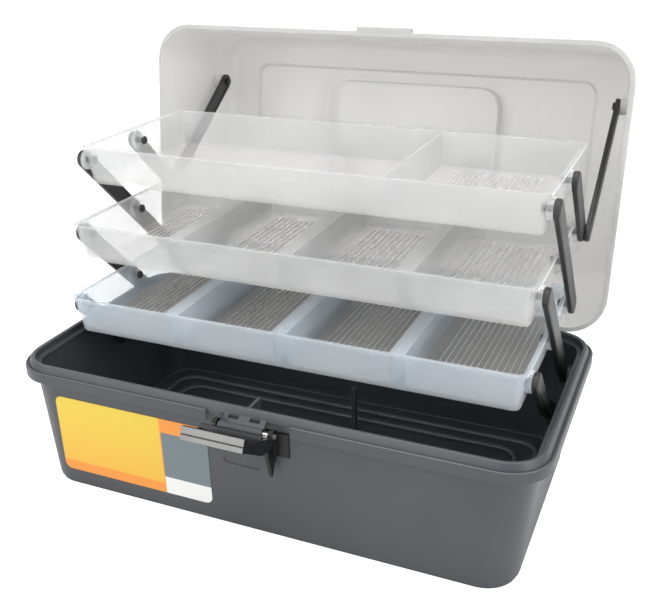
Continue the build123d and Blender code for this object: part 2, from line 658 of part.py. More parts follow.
def tray_shell(width, middle, rim_z):
    """Open box with sloping walls and a lip round its rim."""
    base_z = rim_z - TRAY_HEIGHT
    foot = (TRAY_LIP + TRAY_DRAFT_X, TRAY_LIP + TRAY_DRAFT_Y)
    loft(
        [tray_face(width, middle, *foot, base_z), tray_face(width, middle, TRAY_LIP, TRAY_LIP, rim_z)],
        ruled=True,
    )
    extrude(tray_face(width, middle, 0, 0, rim_z - TRAY_LIP_HEIGHT), amount=TRAY_LIP_HEIGHT)
    loft(
        [
            tray_face(width, middle, foot[0] + TRAY_WALL, foot[1] + TRAY_WALL, base_z + TRAY_FLOOR),
            tray_face(width, middle, TRAY_LIP + TRAY_WALL, TRAY_LIP + TRAY_WALL, rim_z),
        ],
        ruled=True,
        mode=Mode.SUBTRACT,
    )


def cross_wall(width, middle, rim_z, x, thickness, top_drop):
    """A wall from the front to the back of a tray that follows the slope of its sides."""
    base_z = rim_z - TRAY_HEIGHT
    low = width / 2 - TRAY_LIP - TRAY_DRAFT_Y - TRAY_WALL / 2
    high = low + TRAY_DRAFT_Y * (TRAY_HEIGHT - top_drop) / TRAY_HEIGHT
    top_z = rim_z - top_drop
    side_shape(
        [(middle - low, base_z), (middle + low, base_z), (middle + high, top_z), (middle - high, top_z)],
        x - thickness / 2,
        x + thickness / 2,
    )


def hollow_divider(width, middle, rim_z, x):
    """A raised fold of the floor that parts two compartments, open from below."""
    cross_wall(width, middle, rim_z, x, DIVIDER_WIDTH, DIVIDER_DROP)
    slot_half = DIVIDER_WIDTH / 2 - DIVIDER_WALL
    reach = width / 2 - TRAY_LIP - TRAY_DRAFT_Y - TRAY_WALL
    slot_low = rim_z - TRAY_HEIGHT - CUT_MARGIN
    slot_top = rim_z - DIVIDER_DROP - DIVIDER_WALL
    front = middle - reach
    back = middle + reach
    block(x - slot_half, x + slot_half, front, back, slot_low, slot_top, mode=Mode.SUBTRACT)


def tray_bosses(pivots):
    """Round bosses on the ends of a tray with a hole for each pin."""
    for y, z in pivots:
        paired_rods(PIN_HEAD_X, ARM_IN_X - TRAY_BOSS_GAP, PIN_HEAD_R + PIN_SEAT, y, z)
        paired_rods(TRAY_END_X, ARM_IN_X - TRAY_BOSS_GAP, BOSS_R, y, z)
        paired_rods(PIN_HEAD_X - CUT_MARGIN, ARM_IN_X, PIN_R, y, z, mode=Mode.SUBTRACT)


def tray_pins(pivots):
    """Headed pins through the ends of a tray and the arms outside them."""
    for y, z in pivots:
        paired_rods(PIN_HEAD_X - PIN_HEAD, PIN_HEAD_X, PIN_HEAD_R, y, z)
        paired_rods(PIN_HEAD_X, ARM_IN_X + ARM_THICK - HEAD_GAP, PIN_R, y, z)


TOP_PIVOTS = (TOP_FRONT, TOP_REAR)
MID_PIVOTS = (MID_FRONT, MID_REAR, MID_BACK)
LOW_PIVOTS = (LOW_FRONT, LOW_REAR, LOW_BACK)

with BuildPart() as top_tray:
    top_rim = TOP_FRONT[1] + PIVOT_BELOW_RIM
    top_middle = TOP_FRONT[0] - TOP_TRAY_FRONT + TOP_TRAY_WIDTH / 2
    tray_shell(TOP_TRAY_WIDTH, top_middle, top_rim)
    cross_wall(TOP_TRAY_WIDTH, top_middle, top_rim, TOP_DIVIDER_X, TOP_DIVIDER_WALL, DIVIDER_DROP)
    tray_bosses(TOP_PIVOTS)
finish(top_tray.part, "tray_top")

with BuildPart() as middle_tray:
    mid_rim = MID_FRONT[1] + PIVOT_BELOW_RIM
    mid_middle = MID_FRONT[0] - TRAY_FRONT + TRAY_WIDTH / 2
    tray_shell(TRAY_WIDTH, mid_middle, mid_rim)
    for x in DIVIDER_X:
        hollow_divider(TRAY_WIDTH, mid_middle, mid_rim, x)
    tray_bosses(MID_PIVOTS)
finish(middle_tray.part, "tray_middle")

with BuildPart() as bottom_tray:
    low_rim = LOW_FRONT[1] + PIVOT_BELOW_RIM
    low_middle = LOW_FRONT[0] - TRAY_FRONT + TRAY_WIDTH / 2
    tray_shell(TRAY_WIDTH, low_middle, low_rim)
    for x in DIVIDER_X:
        hollow_divider(TRAY_WIDTH, low_middle, low_rim, x)
    tray_bosses(LOW_PIVOTS)
finish(bottom_tray.part, "tray_bottom")

with BuildPart() as top_pins:
    tray_pins(TOP_PIVOTS)
finish(top_pins.part, "pins_top_tray")

with BuildPart() as middle_pins:
    tray_pins(MID_PIVOTS)
finish(middle_pins.part, "pins_middle_tray")

with BuildPart() as bottom_pins:
    tray_pins(LOW_PIVOTS)
finish(bottom_pins.part, "pins_bottom_tray")

with BuildPart() as base_pins:
    for (y, z), joggle in BASE_PIVOTS:
        head_x = ARM_IN_X + joggle - HEAD_GAP
        paired_rods(head_x - PIN_HEAD, head_x, PIN_HEAD_R, y, z)
        paired_rods(head_x, ARM_IN_X + joggle + ARM_THICK + LINK_GAP, PIN_R, y, z)
    for boss, hole in arm_bosses:
        add(hole)
finish(base_pins.part, "pins_base")

LINK_IN_X = ARM_IN_X + ARM_THICK + LINK_GAP
LID_BOSS = lid_point(0, -LID_BOSS_S, LID_BOSS_H)

with BuildPart() as lid_pins:
    head_x = LINK_IN_X - HEAD_GAP
    paired_rods(head_x - PIN_HEAD, head_x, PIN_HEAD_R, LID_BOSS.Y, LID_BOSS.Z)
    paired_rods(head_x, LID_HALF_LENGTH - LID_ROOF_INSET_X + LID_BOSS_ROOT, PIN_R, LID_BOSS.Y, LID_BOSS.Z)
finish(lid_pins.part, "pins_lid")


def span(side, near, far):
    """Two distances from the middle as X values in rising order."""
    return min(side * near, side * far), max(side * near, side * far)


def flat_bar(start, end, inner, thickness, radius, side, joggle):
    """A bar with round ends between two pivots; the joggle moves its start outwards."""
    length = math.dist(start, end)
    along = ((end[0] - start[0]) / length, (end[1] - start[1]) / length)
    edge_plane = Plane(origin=(0, *start), x_dir=(0, *along), z_dir=(0, along[1], -along[0]))
    outer = inner + thickness
    inside = [
        (-radius, inner + joggle),
        (JOGGLE_START, inner + joggle),
        (JOGGLE_END, inner),
        (length + radius, inner),
    ]
    outside = [
        (length + radius, outer),
        (JOGGLE_END, outer),
        (JOGGLE_START, outer + joggle),
        (-radius, outer + joggle),
    ]
    with BuildSketch(edge_plane, mode=Mode.PRIVATE) as edge:
        Polygon(*[(u, side * x) for u, x in inside + outside], align=None)
    extrude(edge.sketch, amount=radius, both=True)
    low = min(side * inner, side * (outer + joggle)) - CUT_MARGIN
    face_plane = Plane(origin=(low, *start), x_dir=(0, *along), z_dir=(1, 0, 0))
    with BuildSketch(face_plane, mode=Mode.PRIVATE) as face:
        with Locations((length / 2, 0)):
            SlotCenterToCenter(length, 2 * radius)
    extrude(face.sketch, amount=thickness + joggle + 2 * CUT_MARGIN, mode=Mode.INTERSECT)
    # Shallow channel in the inner face
    channel_from = JOGGLE_END + radius if joggle else radius
    channel_to = length - radius
    channel_x = side * (inner + ARM_GROOVE)
    channel_plane = Plane(origin=(channel_x, *start), x_dir=(0, *along), z_dir=(-side, 0, 0))
    with BuildSketch(channel_plane, mode=Mode.PRIVATE) as channel:
        with Locations(((channel_from + channel_to) / 2, 0)):
            SlotOverall(channel_to - channel_from, 2 * (radius - ARM_RIM))
    extrude(channel.sketch, amount=2 * ARM_GROOVE, mode=Mode.SUBTRACT)


ARMS = {
    "arm_a": (BASE_FRONT, LOW_FRONT, (BASE_FRONT, LOW_FRONT), FRONT_JOGGLE),
    "arm_b": (BASE_REAR, MID_FRONT, (BASE_REAR, LOW_REAR, MID_FRONT), REAR_JOGGLE),
    "arm_c": (LOW_BACK, TOP_FRONT, (LOW_BACK, MID_REAR, TOP_FRONT), 0.0),
    "arm_d": (MID_BACK, TOP_REAR, (MID_BACK, TOP_REAR), 0.0),
}

for arm_name, (arm_start, arm_end, holes, arm_joggle) in ARMS.items():
    for side_name, side in SIDES.items():
        with BuildPart() as arm:
            flat_bar(arm_start, arm_end, ARM_IN_X, ARM_THICK, ARM_R, side, arm_joggle)
            for y, z in holes:
                far = ARM_IN_X + ARM_THICK + arm_joggle + CUT_MARGIN
                rod(*span(side, ARM_IN_X - CUT_MARGIN, far), PIN_R + RUN_GAP, y, z, mode=Mode.SUBTRACT)
        finish(arm.part, arm_name + "_" + side_name)

for side_name, side in SIDES.items():
    with BuildPart() as link:
        link_start = (LID_BOSS.Y, LID_BOSS.Z)
        flat_bar(link_start, MID_BACK, LINK_IN_X, LINK_THICK, LINK_R, side, 0.0)
        for y, z in (link_start, MID_BACK):
            far = LINK_IN_X + LINK_THICK + CUT_MARGIN
            rod(*span(side, LINK_IN_X - CUT_MARGIN, far), PIN_R + RUN_GAP, y, z, mode=Mode.SUBTRACT)
    finish(link.part, "lid_link_" + side_name)

# Latch lever, drawn swung out from the tub
tilt = math.radians(LATCH_TILT)
lever_plane = Plane(
    origin=(LATCH_X, LATCH_PIN_Y, LATCH_PIN_Z),
    x_dir=(0, -math.cos(tilt), math.sin(tilt)),
    z_dir=(1, 0, 0),
)
with BuildPart() as lever:
    grip_low = LEVER_TOP - GRIP_HEIGHT
    ear_outline = [
        (0, -EAR_R + GRIP_THICK / 2),
        (EAR_ROOT, EAR_LOW),
        (LATCH_LENGTH - EAR_END, EAR_LOW),
        (LATCH_LENGTH, grip_low),
        (LATCH_LENGTH, LEVER_TOP),
        EAR_BELLY,
        EAR_HEEL,
        (0, EAR_R),
    ]
    for end in (-1, 1):
        with BuildSketch(lever_plane.offset(end * (LATCH_HALF - EAR / 2))):
            Polygon(*ear_outline, align=None)
            Circle(EAR_R)
            Circle(LATCH_PIN_R + RUN_GAP, mode=Mode.SUBTRACT)
        extrude(amount=EAR / 2, both=True)
    with BuildSketch(lever_plane):
        Polygon(
            (LEVER_PLATE_START, LEVER_TOP - LEVER_PLATE),
            (LATCH_LENGTH, LEVER_TOP - LEVER_PLATE),
            (LATCH_LENGTH, LEVER_TOP),
            (LEVER_PLATE_START, LEVER_TOP),
            align=None,
        )
        Polygon(
            (HOOK_START, HOOK_LOW),
            (HOOK_START + HOOK_THICK, HOOK_LOW),
            (HOOK_START + HOOK_THICK * 3 / 2, LEVER_TOP - LEVER_PLATE / 2),
            (HOOK_START, LEVER_TOP - LEVER_PLATE / 2),
            align=None,
        )
        grip_from = LATCH_LENGTH - GRIP_OVERLAP
        grip_to = LATCH_LENGTH + GRIP_THICK
        groove_middle = LEVER_TOP - GRIP_GROOVE_DOWN
        Polygon(
            (grip_from, grip_low),
            (grip_to, grip_low),
            (grip_to, groove_middle - GRIP_GROOVE_HALF),
            (grip_to - GRIP_GROOVE, groove_middle),
            (grip_to, groove_middle + GRIP_GROOVE_HALF),
            (grip_to, LEVER_TOP),
            (grip_from, LEVER_TOP),
            align=None,
        )
    extrude(amount=LATCH_HALF, both=True)
finish(lever.part, "latch_lever")

with BuildPart() as latch_pin:
    pin_reach = LATCH_HALF + LATCH_PIN_OUT
    rod(LATCH_X - pin_reach, LATCH_X + pin_reach, LATCH_PIN_R, LATCH_PIN_Y, LATCH_PIN_Z)
finish(latch_pin.part, "latch_pin")

with BuildPart() as bracket:
    side_shape(
        [
            (-wall_y(BRACKET_TOP), BRACKET_TOP),
            (-wall_y(BRACKET_TOP) - BRACKET_BACK, BRACKET_TOP),
            (-wall_y(BRACKET_LOW) - BRACKET_BACK, BRACKET_LOW),
            (-wall_y(BRACKET_LOW), BRACKET_LOW),
        ],
        LATCH_X - BRACKET_HALF,
        LATCH_X + BRACKET_HALF,
    )
    cheek_foot = CHEEK_TOP - CHEEK_FOOT
    plain_cheek = [
        (-wall_y(cheek_foot), cheek_foot),
        (-wall_y(CHEEK_TOP), CHEEK_TOP),
        (-CHEEK_OUT, CHEEK_TOP),
        (-CHEEK_OUT, CHEEK_TOP - CHEEK_DEEP),
    ]
    fang_cheek = plain_cheek + [(-wall_y(FANG_TIP) - FANG_OUT, FANG_TIP)]
    side_shape(plain_cheek, LATCH_X - CHEEK_HALF, LATCH_X - CHEEK_HALF + CHEEK)
    side_shape(fang_cheek, LATCH_X + CHEEK_HALF - CHEEK, LATCH_X + CHEEK_HALF)
finish(bracket.part, "latch_bracket")

with BuildPart() as label:
    side_shape(
        [
            (-wall_y(LABEL_TOP), LABEL_TOP),
            (-wall_y(LABEL_TOP) - LABEL_THICK, LABEL_TOP),
            (-wall_y(LABEL_BOTTOM) - LABEL_THICK, LABEL_BOTTOM),
            (-wall_y(LABEL_BOTTOM), LABEL_BOTTOM),
        ],
        LABEL_LEFT,
        LABEL_RIGHT,
    )
    label_middle = ((LABEL_LEFT + LABEL_RIGHT) / 2, (LABEL_BOTTOM + LABEL_TOP) / 2)
    with BuildSketch(Plane(origin=(label_middle[0], 0, label_middle[1]), x_dir=(1, 0, 0), z_dir=(0, -1, 0))):
        RectangleRounded(LABEL_RIGHT - LABEL_LEFT, LABEL_TOP - LABEL_BOTTOM, LABEL_CORNER)
    extrude(amount=TUB_WIDTH, mode=Mode.INTERSECT)
finish(label.part, "front_label")
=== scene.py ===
"""Looks of the tackle box: a grey tub, a milky lid and three milky trays on black arms.

Sizes are given in millimetres, as in the part's source, and become metres when a mesh is made.
"""
import math

import bmesh
import bpy
from mathutils import Matrix, Vector


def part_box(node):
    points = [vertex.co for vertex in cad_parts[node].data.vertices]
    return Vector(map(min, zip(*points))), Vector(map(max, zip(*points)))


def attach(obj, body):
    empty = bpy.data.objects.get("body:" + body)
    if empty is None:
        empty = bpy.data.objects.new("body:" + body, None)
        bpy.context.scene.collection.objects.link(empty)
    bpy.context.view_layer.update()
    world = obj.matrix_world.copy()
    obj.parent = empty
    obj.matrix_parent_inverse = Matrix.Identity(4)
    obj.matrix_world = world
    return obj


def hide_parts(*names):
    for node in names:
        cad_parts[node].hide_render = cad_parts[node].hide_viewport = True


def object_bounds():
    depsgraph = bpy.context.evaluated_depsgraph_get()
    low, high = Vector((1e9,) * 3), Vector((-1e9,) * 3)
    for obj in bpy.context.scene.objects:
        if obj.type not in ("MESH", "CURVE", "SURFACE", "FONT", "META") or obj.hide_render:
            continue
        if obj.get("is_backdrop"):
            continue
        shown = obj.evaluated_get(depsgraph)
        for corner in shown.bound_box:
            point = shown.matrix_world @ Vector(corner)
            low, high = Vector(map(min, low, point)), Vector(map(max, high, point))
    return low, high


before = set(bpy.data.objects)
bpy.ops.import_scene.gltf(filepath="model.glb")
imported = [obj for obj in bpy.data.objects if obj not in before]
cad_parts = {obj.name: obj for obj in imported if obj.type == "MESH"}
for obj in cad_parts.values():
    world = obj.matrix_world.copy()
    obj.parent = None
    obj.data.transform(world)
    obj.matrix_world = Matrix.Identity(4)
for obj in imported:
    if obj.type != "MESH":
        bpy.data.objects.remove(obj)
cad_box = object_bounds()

MM = 0.001
CORNER_STEPS = 8
SIDES = (-1, 1)

# Tub
TUB_LENGTH, TUB_WIDTH, TUB_CORNER = 365.0, 190.0, 28.0
FOOT_LENGTH, FOOT_WIDTH, FOOT_CORNER = 335.0, 178.0, 22.0
WALL_TOP_LENGTH, WALL_TOP_WIDTH, WALL_TOP_Z = 351.0, 180.4, 86.0
FOOT_HEIGHT, FOOT_INSET = 2.5, 1.0
TUB_WALL, TUB_FLOOR = 2.2, 3.2
LEDGE_Z, LEDGE_THICK, LEDGE_INSET = 87.0, 2.4, 10.4
SKIRT_LOW, SKIRT_TOP, SKIRT_THICK = 80.5, 88.0, 1.4
GROOVE = 0.8
CREST_Z, TONGUE_TOP_INSET, TONGUE_INNER_INSET = 92.0, 4.2, 7.0
BEADS = ((153.2, 74.7), (140.5, 62.0))
BEAD_WIDTH, BEAD_HEIGHT, BEAD_CORNER, BEAD_ROUNDING = 4.0, 2.8, 16.0, 1.4
POST_X, POST_Y, POST_TOP = (13.5, 16.5), (43.0, 49.0), 40.0
GUSSET_X, GUSSET_REACH, GUSSET_EDGE, GUSSET_DEEP = (-7.5, -5.5), 26.0, 10.0, 36.0
BOSS_R, FRONT_BOSS_X, REAR_BOSS_X = 7.0, 169.3, 166.1

# Latch
LATCH_X, LATCH_PIN_Y, LATCH_PIN_Z = 1.0, -99.0, 82.0
CUT_HALF, CUT_FRONT, CUT_BACK = 29.0, -96.0, -92.8
PLATE_X, PLATE_HALF, PLATE_BARREL_R = -1.2, 14.8, 3.2
PLATE_BACK, PLATE_LIP, PLATE_FRONT = -89.8, 88.1, -99.8
WINDOW_HALF, WINDOW_NEAR, WINDOW_FAR = 3.5, 3.6, 6.8
SLOT_RIGHT, SLOT_LEFT, SLOT_Z, SLOT_R, SLOT_DEPTH = 4.0, -18.0, 51.0, 2.75, 0.8
LEVER_TILT, LEVER_GRIP = 26.0, 37.5

# Hinge and lid
HINGE_Y, HINGE_Z, LID_OPEN = 103.0, 90.3, 97.4
BARREL_X, BARREL_R = (-120.0, 0.0, 120.0), 4.2
LID_BARREL, TUB_BARREL, BARREL_GAP, NOTCH_GAP = 20.0, 12.0, 0.3, 0.4
HINGE_WEB_Y = 93.8
LID_HALF_LENGTH, LID_HALF_WIDTH, LID_CORNER = 184.5, 101.6, 28.0
LID_MIDDLE_S = 97.6
LID_BOTTOM, LIP_TOP, STEP_TOP, STEP_OUT = -1.7, 3.0, 6.0, 0.7
LID_FOOT = (183.2, 100.4, 27.0)
LID_ROOF = (176.5, 94.9, 25.0)
LID_WALL, ROOF_H, ROOF_FILLET, INNER_FILLET = 2.0, 104.7, 9.0, 7.5
PANEL = (150.0, 72.4, 13.0)
PANEL_RISE, PANEL_SLOPE = 3.0, 1.73
RECESS = (71.0, 58.4, 14.0)
RECESS_DEPTH = 12.0
LINK_S, LINK_H = 152.0, 77.0
LINK_BOSS_X, LINK_BOSS_R = (169.1, 176.0), 6.0
TAB_X, TAB_HALF, TAB_S, TAB_TOP = 6.0, 20.5, (197.2, 202.4), 5.3
LUG_X, LUG_HALF, LUG_H = (60.3, 68.3), 6.0, (94.7, 105.5)

# Trays and arms
ARM_IN, ARM_THICK, ARM_R = 161.0, 4.0, 6.25
LINK_IN, LINK_THICK, LINK_R = 165.3, 3.5, 6.0
TRAY_HALF_LENGTH, TRAY_HEIGHT, TRAY_WALL, TRAY_FLOOR = 160.0, 26.6, 1.6, 1.6
TRAY_LIP, TRAY_LIP_HEIGHT, TRAY_LIP_OUT = 1.2, 2.2, 0.5
LOW_TRAY_WIDTH, TOP_TRAY_WIDTH = 147.0, 130.0
TRAY_BOSS_X, HEAD_SEAT_X, HEAD_SEAT_R = 157.0, 155.0, 3.8
TRAY_CORNER, TRAY_DRAFT_X, TRAY_DRAFT_Y = 6.0, 3.0, 4.0
DIVIDERS, DIVIDER_WIDTH, DIVIDER_WALL, DIVIDER_DROP = (-80.0, 0.0, 80.0), 10.0, 1.5, 1.0
TOP_DIVIDER_X, TOP_DIVIDER_WALL = 58.0, 1.8
PIVOT_PITCH, PIVOT_BELOW_RIM = 60.8, 10.5
RIB_WIDTH, RIB_HEIGHT, RIB_SUNK, RIB_PITCH = 0.7, 0.6, 0.05, 4.2
JOGGLE_END, JOGGLE_RUN = 22.0, 10.0

# Pins
PIN_R, HEAD_R, HEAD_LENGTH = 2.0, 3.0, 1.8
TRAY_PIN = (155.0, 164.8)
FRONT_BASE_PIN = (164.8, 172.0)
REAR_BASE_PIN = (161.6, 172.0)
LINK_PIN = (165.1, 176.0)

# Pivots of the arms as Y and Z in the open box
ARM_ANGLE, ARM_LENGTH, BASE_ARM_LENGTH = math.radians(134.8), 70.0, 67.5


def shifted(point, y=0.0, z=0.0):
    return (point[0] + y, point[1] + z)


def up_an_arm(point, length):
    return shifted(point, length * math.cos(ARM_ANGLE), length * math.sin(ARM_ANGLE))


BASE_REAR = (74.0, 66.5)
BASE_FRONT = shifted(BASE_REAR, -PIVOT_PITCH)
LOW_REAR = up_an_arm(BASE_REAR, BASE_ARM_LENGTH)
LOW_FRONT = shifted(LOW_REAR, -PIVOT_PITCH)
LOW_BACK = shifted(LOW_REAR, PIVOT_PITCH)
MID_FRONT = up_an_arm(LOW_REAR, ARM_LENGTH)
MID_REAR = shifted(MID_FRONT, PIVOT_PITCH)
MID_BACK = shifted(MID_REAR, PIVOT_PITCH)
TOP_FRONT = up_an_arm(MID_REAR, ARM_LENGTH)
TOP_REAR = shifted(TOP_FRONT, PIVOT_PITCH)

# Rounding of edges
BEVEL_ANGLE, SMOOTH_ANGLE = math.radians(32), math.radians(40)

# Light and camera
FLOOR_GLOW, ROOM_LIGHT = 0.55, 0.82
LENS, SENSOR = 49.39, 36.0
CAMERA_PLACE = (0.2400, -0.5133, 0.3736)
CAMERA_TURNS = (23.42, 23.98, -0.91)

# Meshes


def link_piece(name, mesh):
    piece = bpy.data.objects.new(name, mesh)
    bpy.context.scene.collection.objects.link(piece)
    return piece


def make_piece(name, solids):
    """One object from closed solids, each given as its points in millimetres and its faces."""
    points = []
    faces = []
    for solid_points, solid_faces in solids:
        start = len(points)
        points += [tuple(c * MM for c in point) for point in solid_points]
        faces += [tuple(start + i for i in face) for face in solid_faces]
    mesh = bpy.data.meshes.new(name)
    mesh.from_pydata(points, [], faces)
    mesh.update()
    return link_piece(name, mesh)


def moved(solid, place):
    """The same solid with each point put through a function."""
    points, faces = solid
    return [place(point) for point in points], faces


def rounded_loop(half_x, half_y, corner, z):
    """Points of a rounded rectangle, anticlockwise seen from above."""
    points = []
    for quarter, (sx, sy) in enumerate(((1, 1), (-1, 1), (-1, -1), (1, -1))):
        for step in range(CORNER_STEPS + 1):
            angle = math.radians(90 * quarter + 90 * step / CORNER_STEPS)
            px = sx * (half_x - corner) + corner * math.cos(angle)
            py = sy * (half_y - corner) + corner * math.sin(angle)
            points.append((px, py, z))
    return points


def loft(loops, ring=False):
    """A closed solid through loops of points; a ring joins its last loop to its first."""
    count = len(loops[0])
    points = [point for loop in loops for point in loop]
    faces = []
    rows = len(loops) if ring else len(loops) - 1
    for row in range(rows):
        low = row * count
        high = (row + 1) % len(loops) * count
        for i in range(count):
            j = (i + 1) % count
            faces.append((low + i, low + j, high + j, high + i))
    if not ring:
        faces.append(tuple(reversed(range(count))))
        faces.append(tuple(range(len(points) - count, len(points))))
    return points, faces


def prism(outline, x_from, x_to):
    """A polygon given in Y and Z, anticlockwise seen from +X, drawn out along X."""
    loops = [[(x, y, z) for y, z in outline] for x in (x_from, x_to)]
    return loft(loops)


def circle(radius, y, z):
    steps = 28
    turns = [math.tau * i / steps for i in range(steps)]
    return [(y + radius * math.cos(a), z + radius * math.sin(a)) for a in turns]


def rod(x_from, x_to, radius, y, z):
    return prism(circle(radius, y, z), min(x_from, x_to), max(x_from, x_to))


def block(x_from, x_to, y_from, y_to, z_from, z_to):
    return prism([(y_from, z_from), (y_to, z_from), (y_to, z_to), (y_from, z_to)], x_from, x_to)


def settle(piece):
    """Puts the modifiers' result into the mesh."""
    graph = bpy.context.evaluated_depsgraph_get()
    mesh = bpy.data.meshes.new_from_object(piece.evaluated_get(graph))
    piece.modifiers.clear()
    piece.data = mesh
    return piece


def combine(piece, operation, solids):
    """Joins solids to a piece or cuts them out of it."""
    tool = make_piece(piece.name + "_tool", solids)
    change = piece.modifiers.new("combine", "BOOLEAN")
    change.operation = operation
    change.solver = "EXACT"
    change.use_self = True
    change.object = tool
    settle(piece)
    bpy.data.objects.remove(tool)
    return piece


def round_edges(piece, width, material=0, steps=2):
    """Rounds each sharp edge; the rounding may have a material of its own."""
    bevel = piece.modifiers.new("round", "BEVEL")
    bevel.width = width * MM
    bevel.segments = steps
    bevel.limit_method = "ANGLE"
    bevel.angle_limit = BEVEL_ANGLE
    bevel.material = material
    bevel.use_clamp_overlap = True
    bevel.miter_outer = "MITER_ARC"
    settle(piece)
    smooth(piece)
    return piece


def smooth(piece):
    mesh = piece.data
    mesh.polygons.foreach_set("use_smooth", [True] * len(mesh.polygons))
    mesh.set_sharp_from_angle(angle=SMOOTH_ANGLE)
    even = piece.modifiers.new("even", "WEIGHTED_NORMAL")
    even.keep_sharp = True
    even.weight = 60
    settle(piece)


def copy_of(node):
    """A merged copy of a CAD node's mesh, ready to have its edges rounded."""
    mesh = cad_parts[node].data.copy()
    mesh.materials.clear()
    shape = bmesh.new()
    shape.from_mesh(mesh)
    bmesh.ops.remove_doubles(shape, verts=shape.verts, dist=0.00001)
    flat = math.radians(1.0)
    bmesh.ops.dissolve_limit(shape, angle_limit=flat, verts=shape.verts, edges=shape.edges)
    shape.to_mesh(mesh)
    shape.free()
    return link_piece(node + "_rounded", mesh)


def stands_for(piece, body, slot, *nodes):
    """Puts a piece on its body and hides the CAD nodes it takes the place of."""
    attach(piece, body)
    if nodes:
        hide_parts(*nodes)


# Materials


def math_node(tree, operation, first, second):
    """The result of a sum on two sockets or numbers."""
    node = tree.nodes.new("ShaderNodeMath")
    node.operation = operation
    for value, socket in zip((first, second), node.inputs):
        if isinstance(value, float):
            socket.default_value = value
        else:
            tree.links.new(value, socket)
    return node.outputs[0]


def new_shader(name, colour, roughness, specular=0.5):
    material = bpy.data.materials.new(name)
    material.use_nodes = True
    shader = material.node_tree.nodes["Principled BSDF"]
    shader.inputs["Base Color"].default_value = (*colour, 1.0)
    shader.inputs["Roughness"].default_value = roughness
    shader.inputs["Specular IOR Level"].default_value = specular
    return material, shader


def add_node(material, kind, **inputs):
    node = material.node_tree.nodes.new(kind)
    for name, value in inputs.items():
        node.inputs[name.replace("_", " ")].default_value = value
    return node


def object_noise(material, scale, detail=3.0):
    """Noise that stays on the piece, with features of 1/scale metres."""
    place = add_node(material, "ShaderNodeTexCoord")
    noise = add_node(material, "ShaderNodeTexNoise", Scale=scale, Detail=detail)
    material.node_tree.links.new(place.outputs["Object"], noise.inputs["Vector"])
    return noise


def tint(material, shader, noise, dark, light):
    """Colour that drifts between two values with the noise."""
    ramp = add_node(material, "ShaderNodeValToRGB")
    ramp.color_ramp.elements[0].position = 0.35
    ramp.color_ramp.elements[0].color = (*dark, 1.0)
    ramp.color_ramp.elements[1].position = 0.65
    ramp.color_ramp.elements[1].color = (*light, 1.0)
    links = material.node_tree.links
    links.new(noise.outputs["Fac"], ramp.inputs["Fac"])
    links.new(ramp.outputs["Color"], shader.inputs["Base Color"])


def vary_roughness(material, shader, noise, low, high):
    span = add_node(material, "ShaderNodeMapRange", To_Min=low, To_Max=high)
    links = material.node_tree.links
    links.new(noise.outputs["Fac"], span.inputs["Value"])
    links.new(span.outputs["Result"], shader.inputs["Roughness"])


def add_grain(material, shader, noise, strength, distance):
    bump = add_node(material, "ShaderNodeBump", Strength=strength, Distance=distance)
    links = material.node_tree.links
    links.new(noise.outputs["Fac"], bump.inputs["Height"])
    links.new(bump.outputs["Normal"], shader.inputs["Normal"])


def satin_plastic(name, dark, light, roughness, grain=0.25, specular=0.5):
    """Moulded plastic with a fine grain and slow changes of tone and gloss."""
    material, shader = new_shader(name, light, roughness, specular)
    slow = object_noise(material, 14.0, 2.0)
    fine = object_noise(material, 2600.0, 2.0)
    tint(material, shader, slow, dark, light)
    vary_roughness(material, shader, slow, roughness - 0.05, roughness + 0.06)
    add_grain(material, shader, fine, grain, 0.0001)
    return material


def milky_plastic(name, dark, light, alpha, grain=0.12):
    """Natural polypropylene: whitish, lit through, and partly seen through."""
    roughness = 0.3
    material, shader = new_shader(name, light, roughness)
    slow = object_noise(material, 22.0, 3.0)
    fine = object_noise(material, 900.0, 2.0)
    tint(material, shader, slow, dark, light)
    vary_roughness(material, shader, slow, roughness - 0.04, roughness + 0.08)
    add_grain(material, shader, fine, grain, 0.0001)
    shader.inputs["Alpha"].default_value = alpha
    shader.inputs["Subsurface Weight"].default_value = 1.0
    shader.inputs["Subsurface Radius"].default_value = (1.0, 1.0, 1.0)
    shader.inputs["Subsurface Scale"].default_value = 0.003
    return material


def drawn_wire(name):
    """Bright wire with fine lines along it."""
    material, shader = new_shader(name, (0.62, 0.62, 0.60), 0.28)
    shader.inputs["Metallic"].default_value = 1.0
    place = add_node(material, "ShaderNodeTexCoord")
    squeeze = add_node(material, "ShaderNodeMapping", Scale=(60.0, 2400.0, 2400.0))
    noise = add_node(material, "ShaderNodeTexNoise", Scale=1.0, Detail=3.0)
    links = material.node_tree.links
    links.new(place.outputs["Object"], squeeze.inputs["Vector"])
    links.new(squeeze.outputs["Vector"], noise.inputs["Vector"])
    vary_roughness(material, shader, noise, 0.2, 0.42)
    add_grain(material, shader, noise, 0.3, 0.0001)
    return material


def step_at(material, coordinate, edge):
    """1 where a coordinate is above an edge in millimetres, else 0."""
    return math_node(material.node_tree, "GREATER_THAN", coordinate, edge * MM)


def paint_over(material, below, share, colour):
    """A colour laid over the colours below it where the share is 1."""
    mix = add_node(material, "ShaderNodeMix")
    mix.data_type = "RGBA"
    links = material.node_tree.links
    links.new(share, mix.inputs["Factor"])
    if isinstance(below, tuple):
        mix.inputs["A"].default_value = (*below, 1.0)
    else:
        links.new(below, mix.inputs["A"])
    if isinstance(colour, tuple):
        mix.inputs["B"].default_value = (*colour, 1.0)
    else:
        links.new(colour, mix.inputs["B"])
    return mix.outputs["Result"]


def both(material, first, second):
    return math_node(material.node_tree, "MULTIPLY", first, second)


def opposite(material, share):
    return math_node(material.node_tree, "SUBTRACT", 1.0, share)


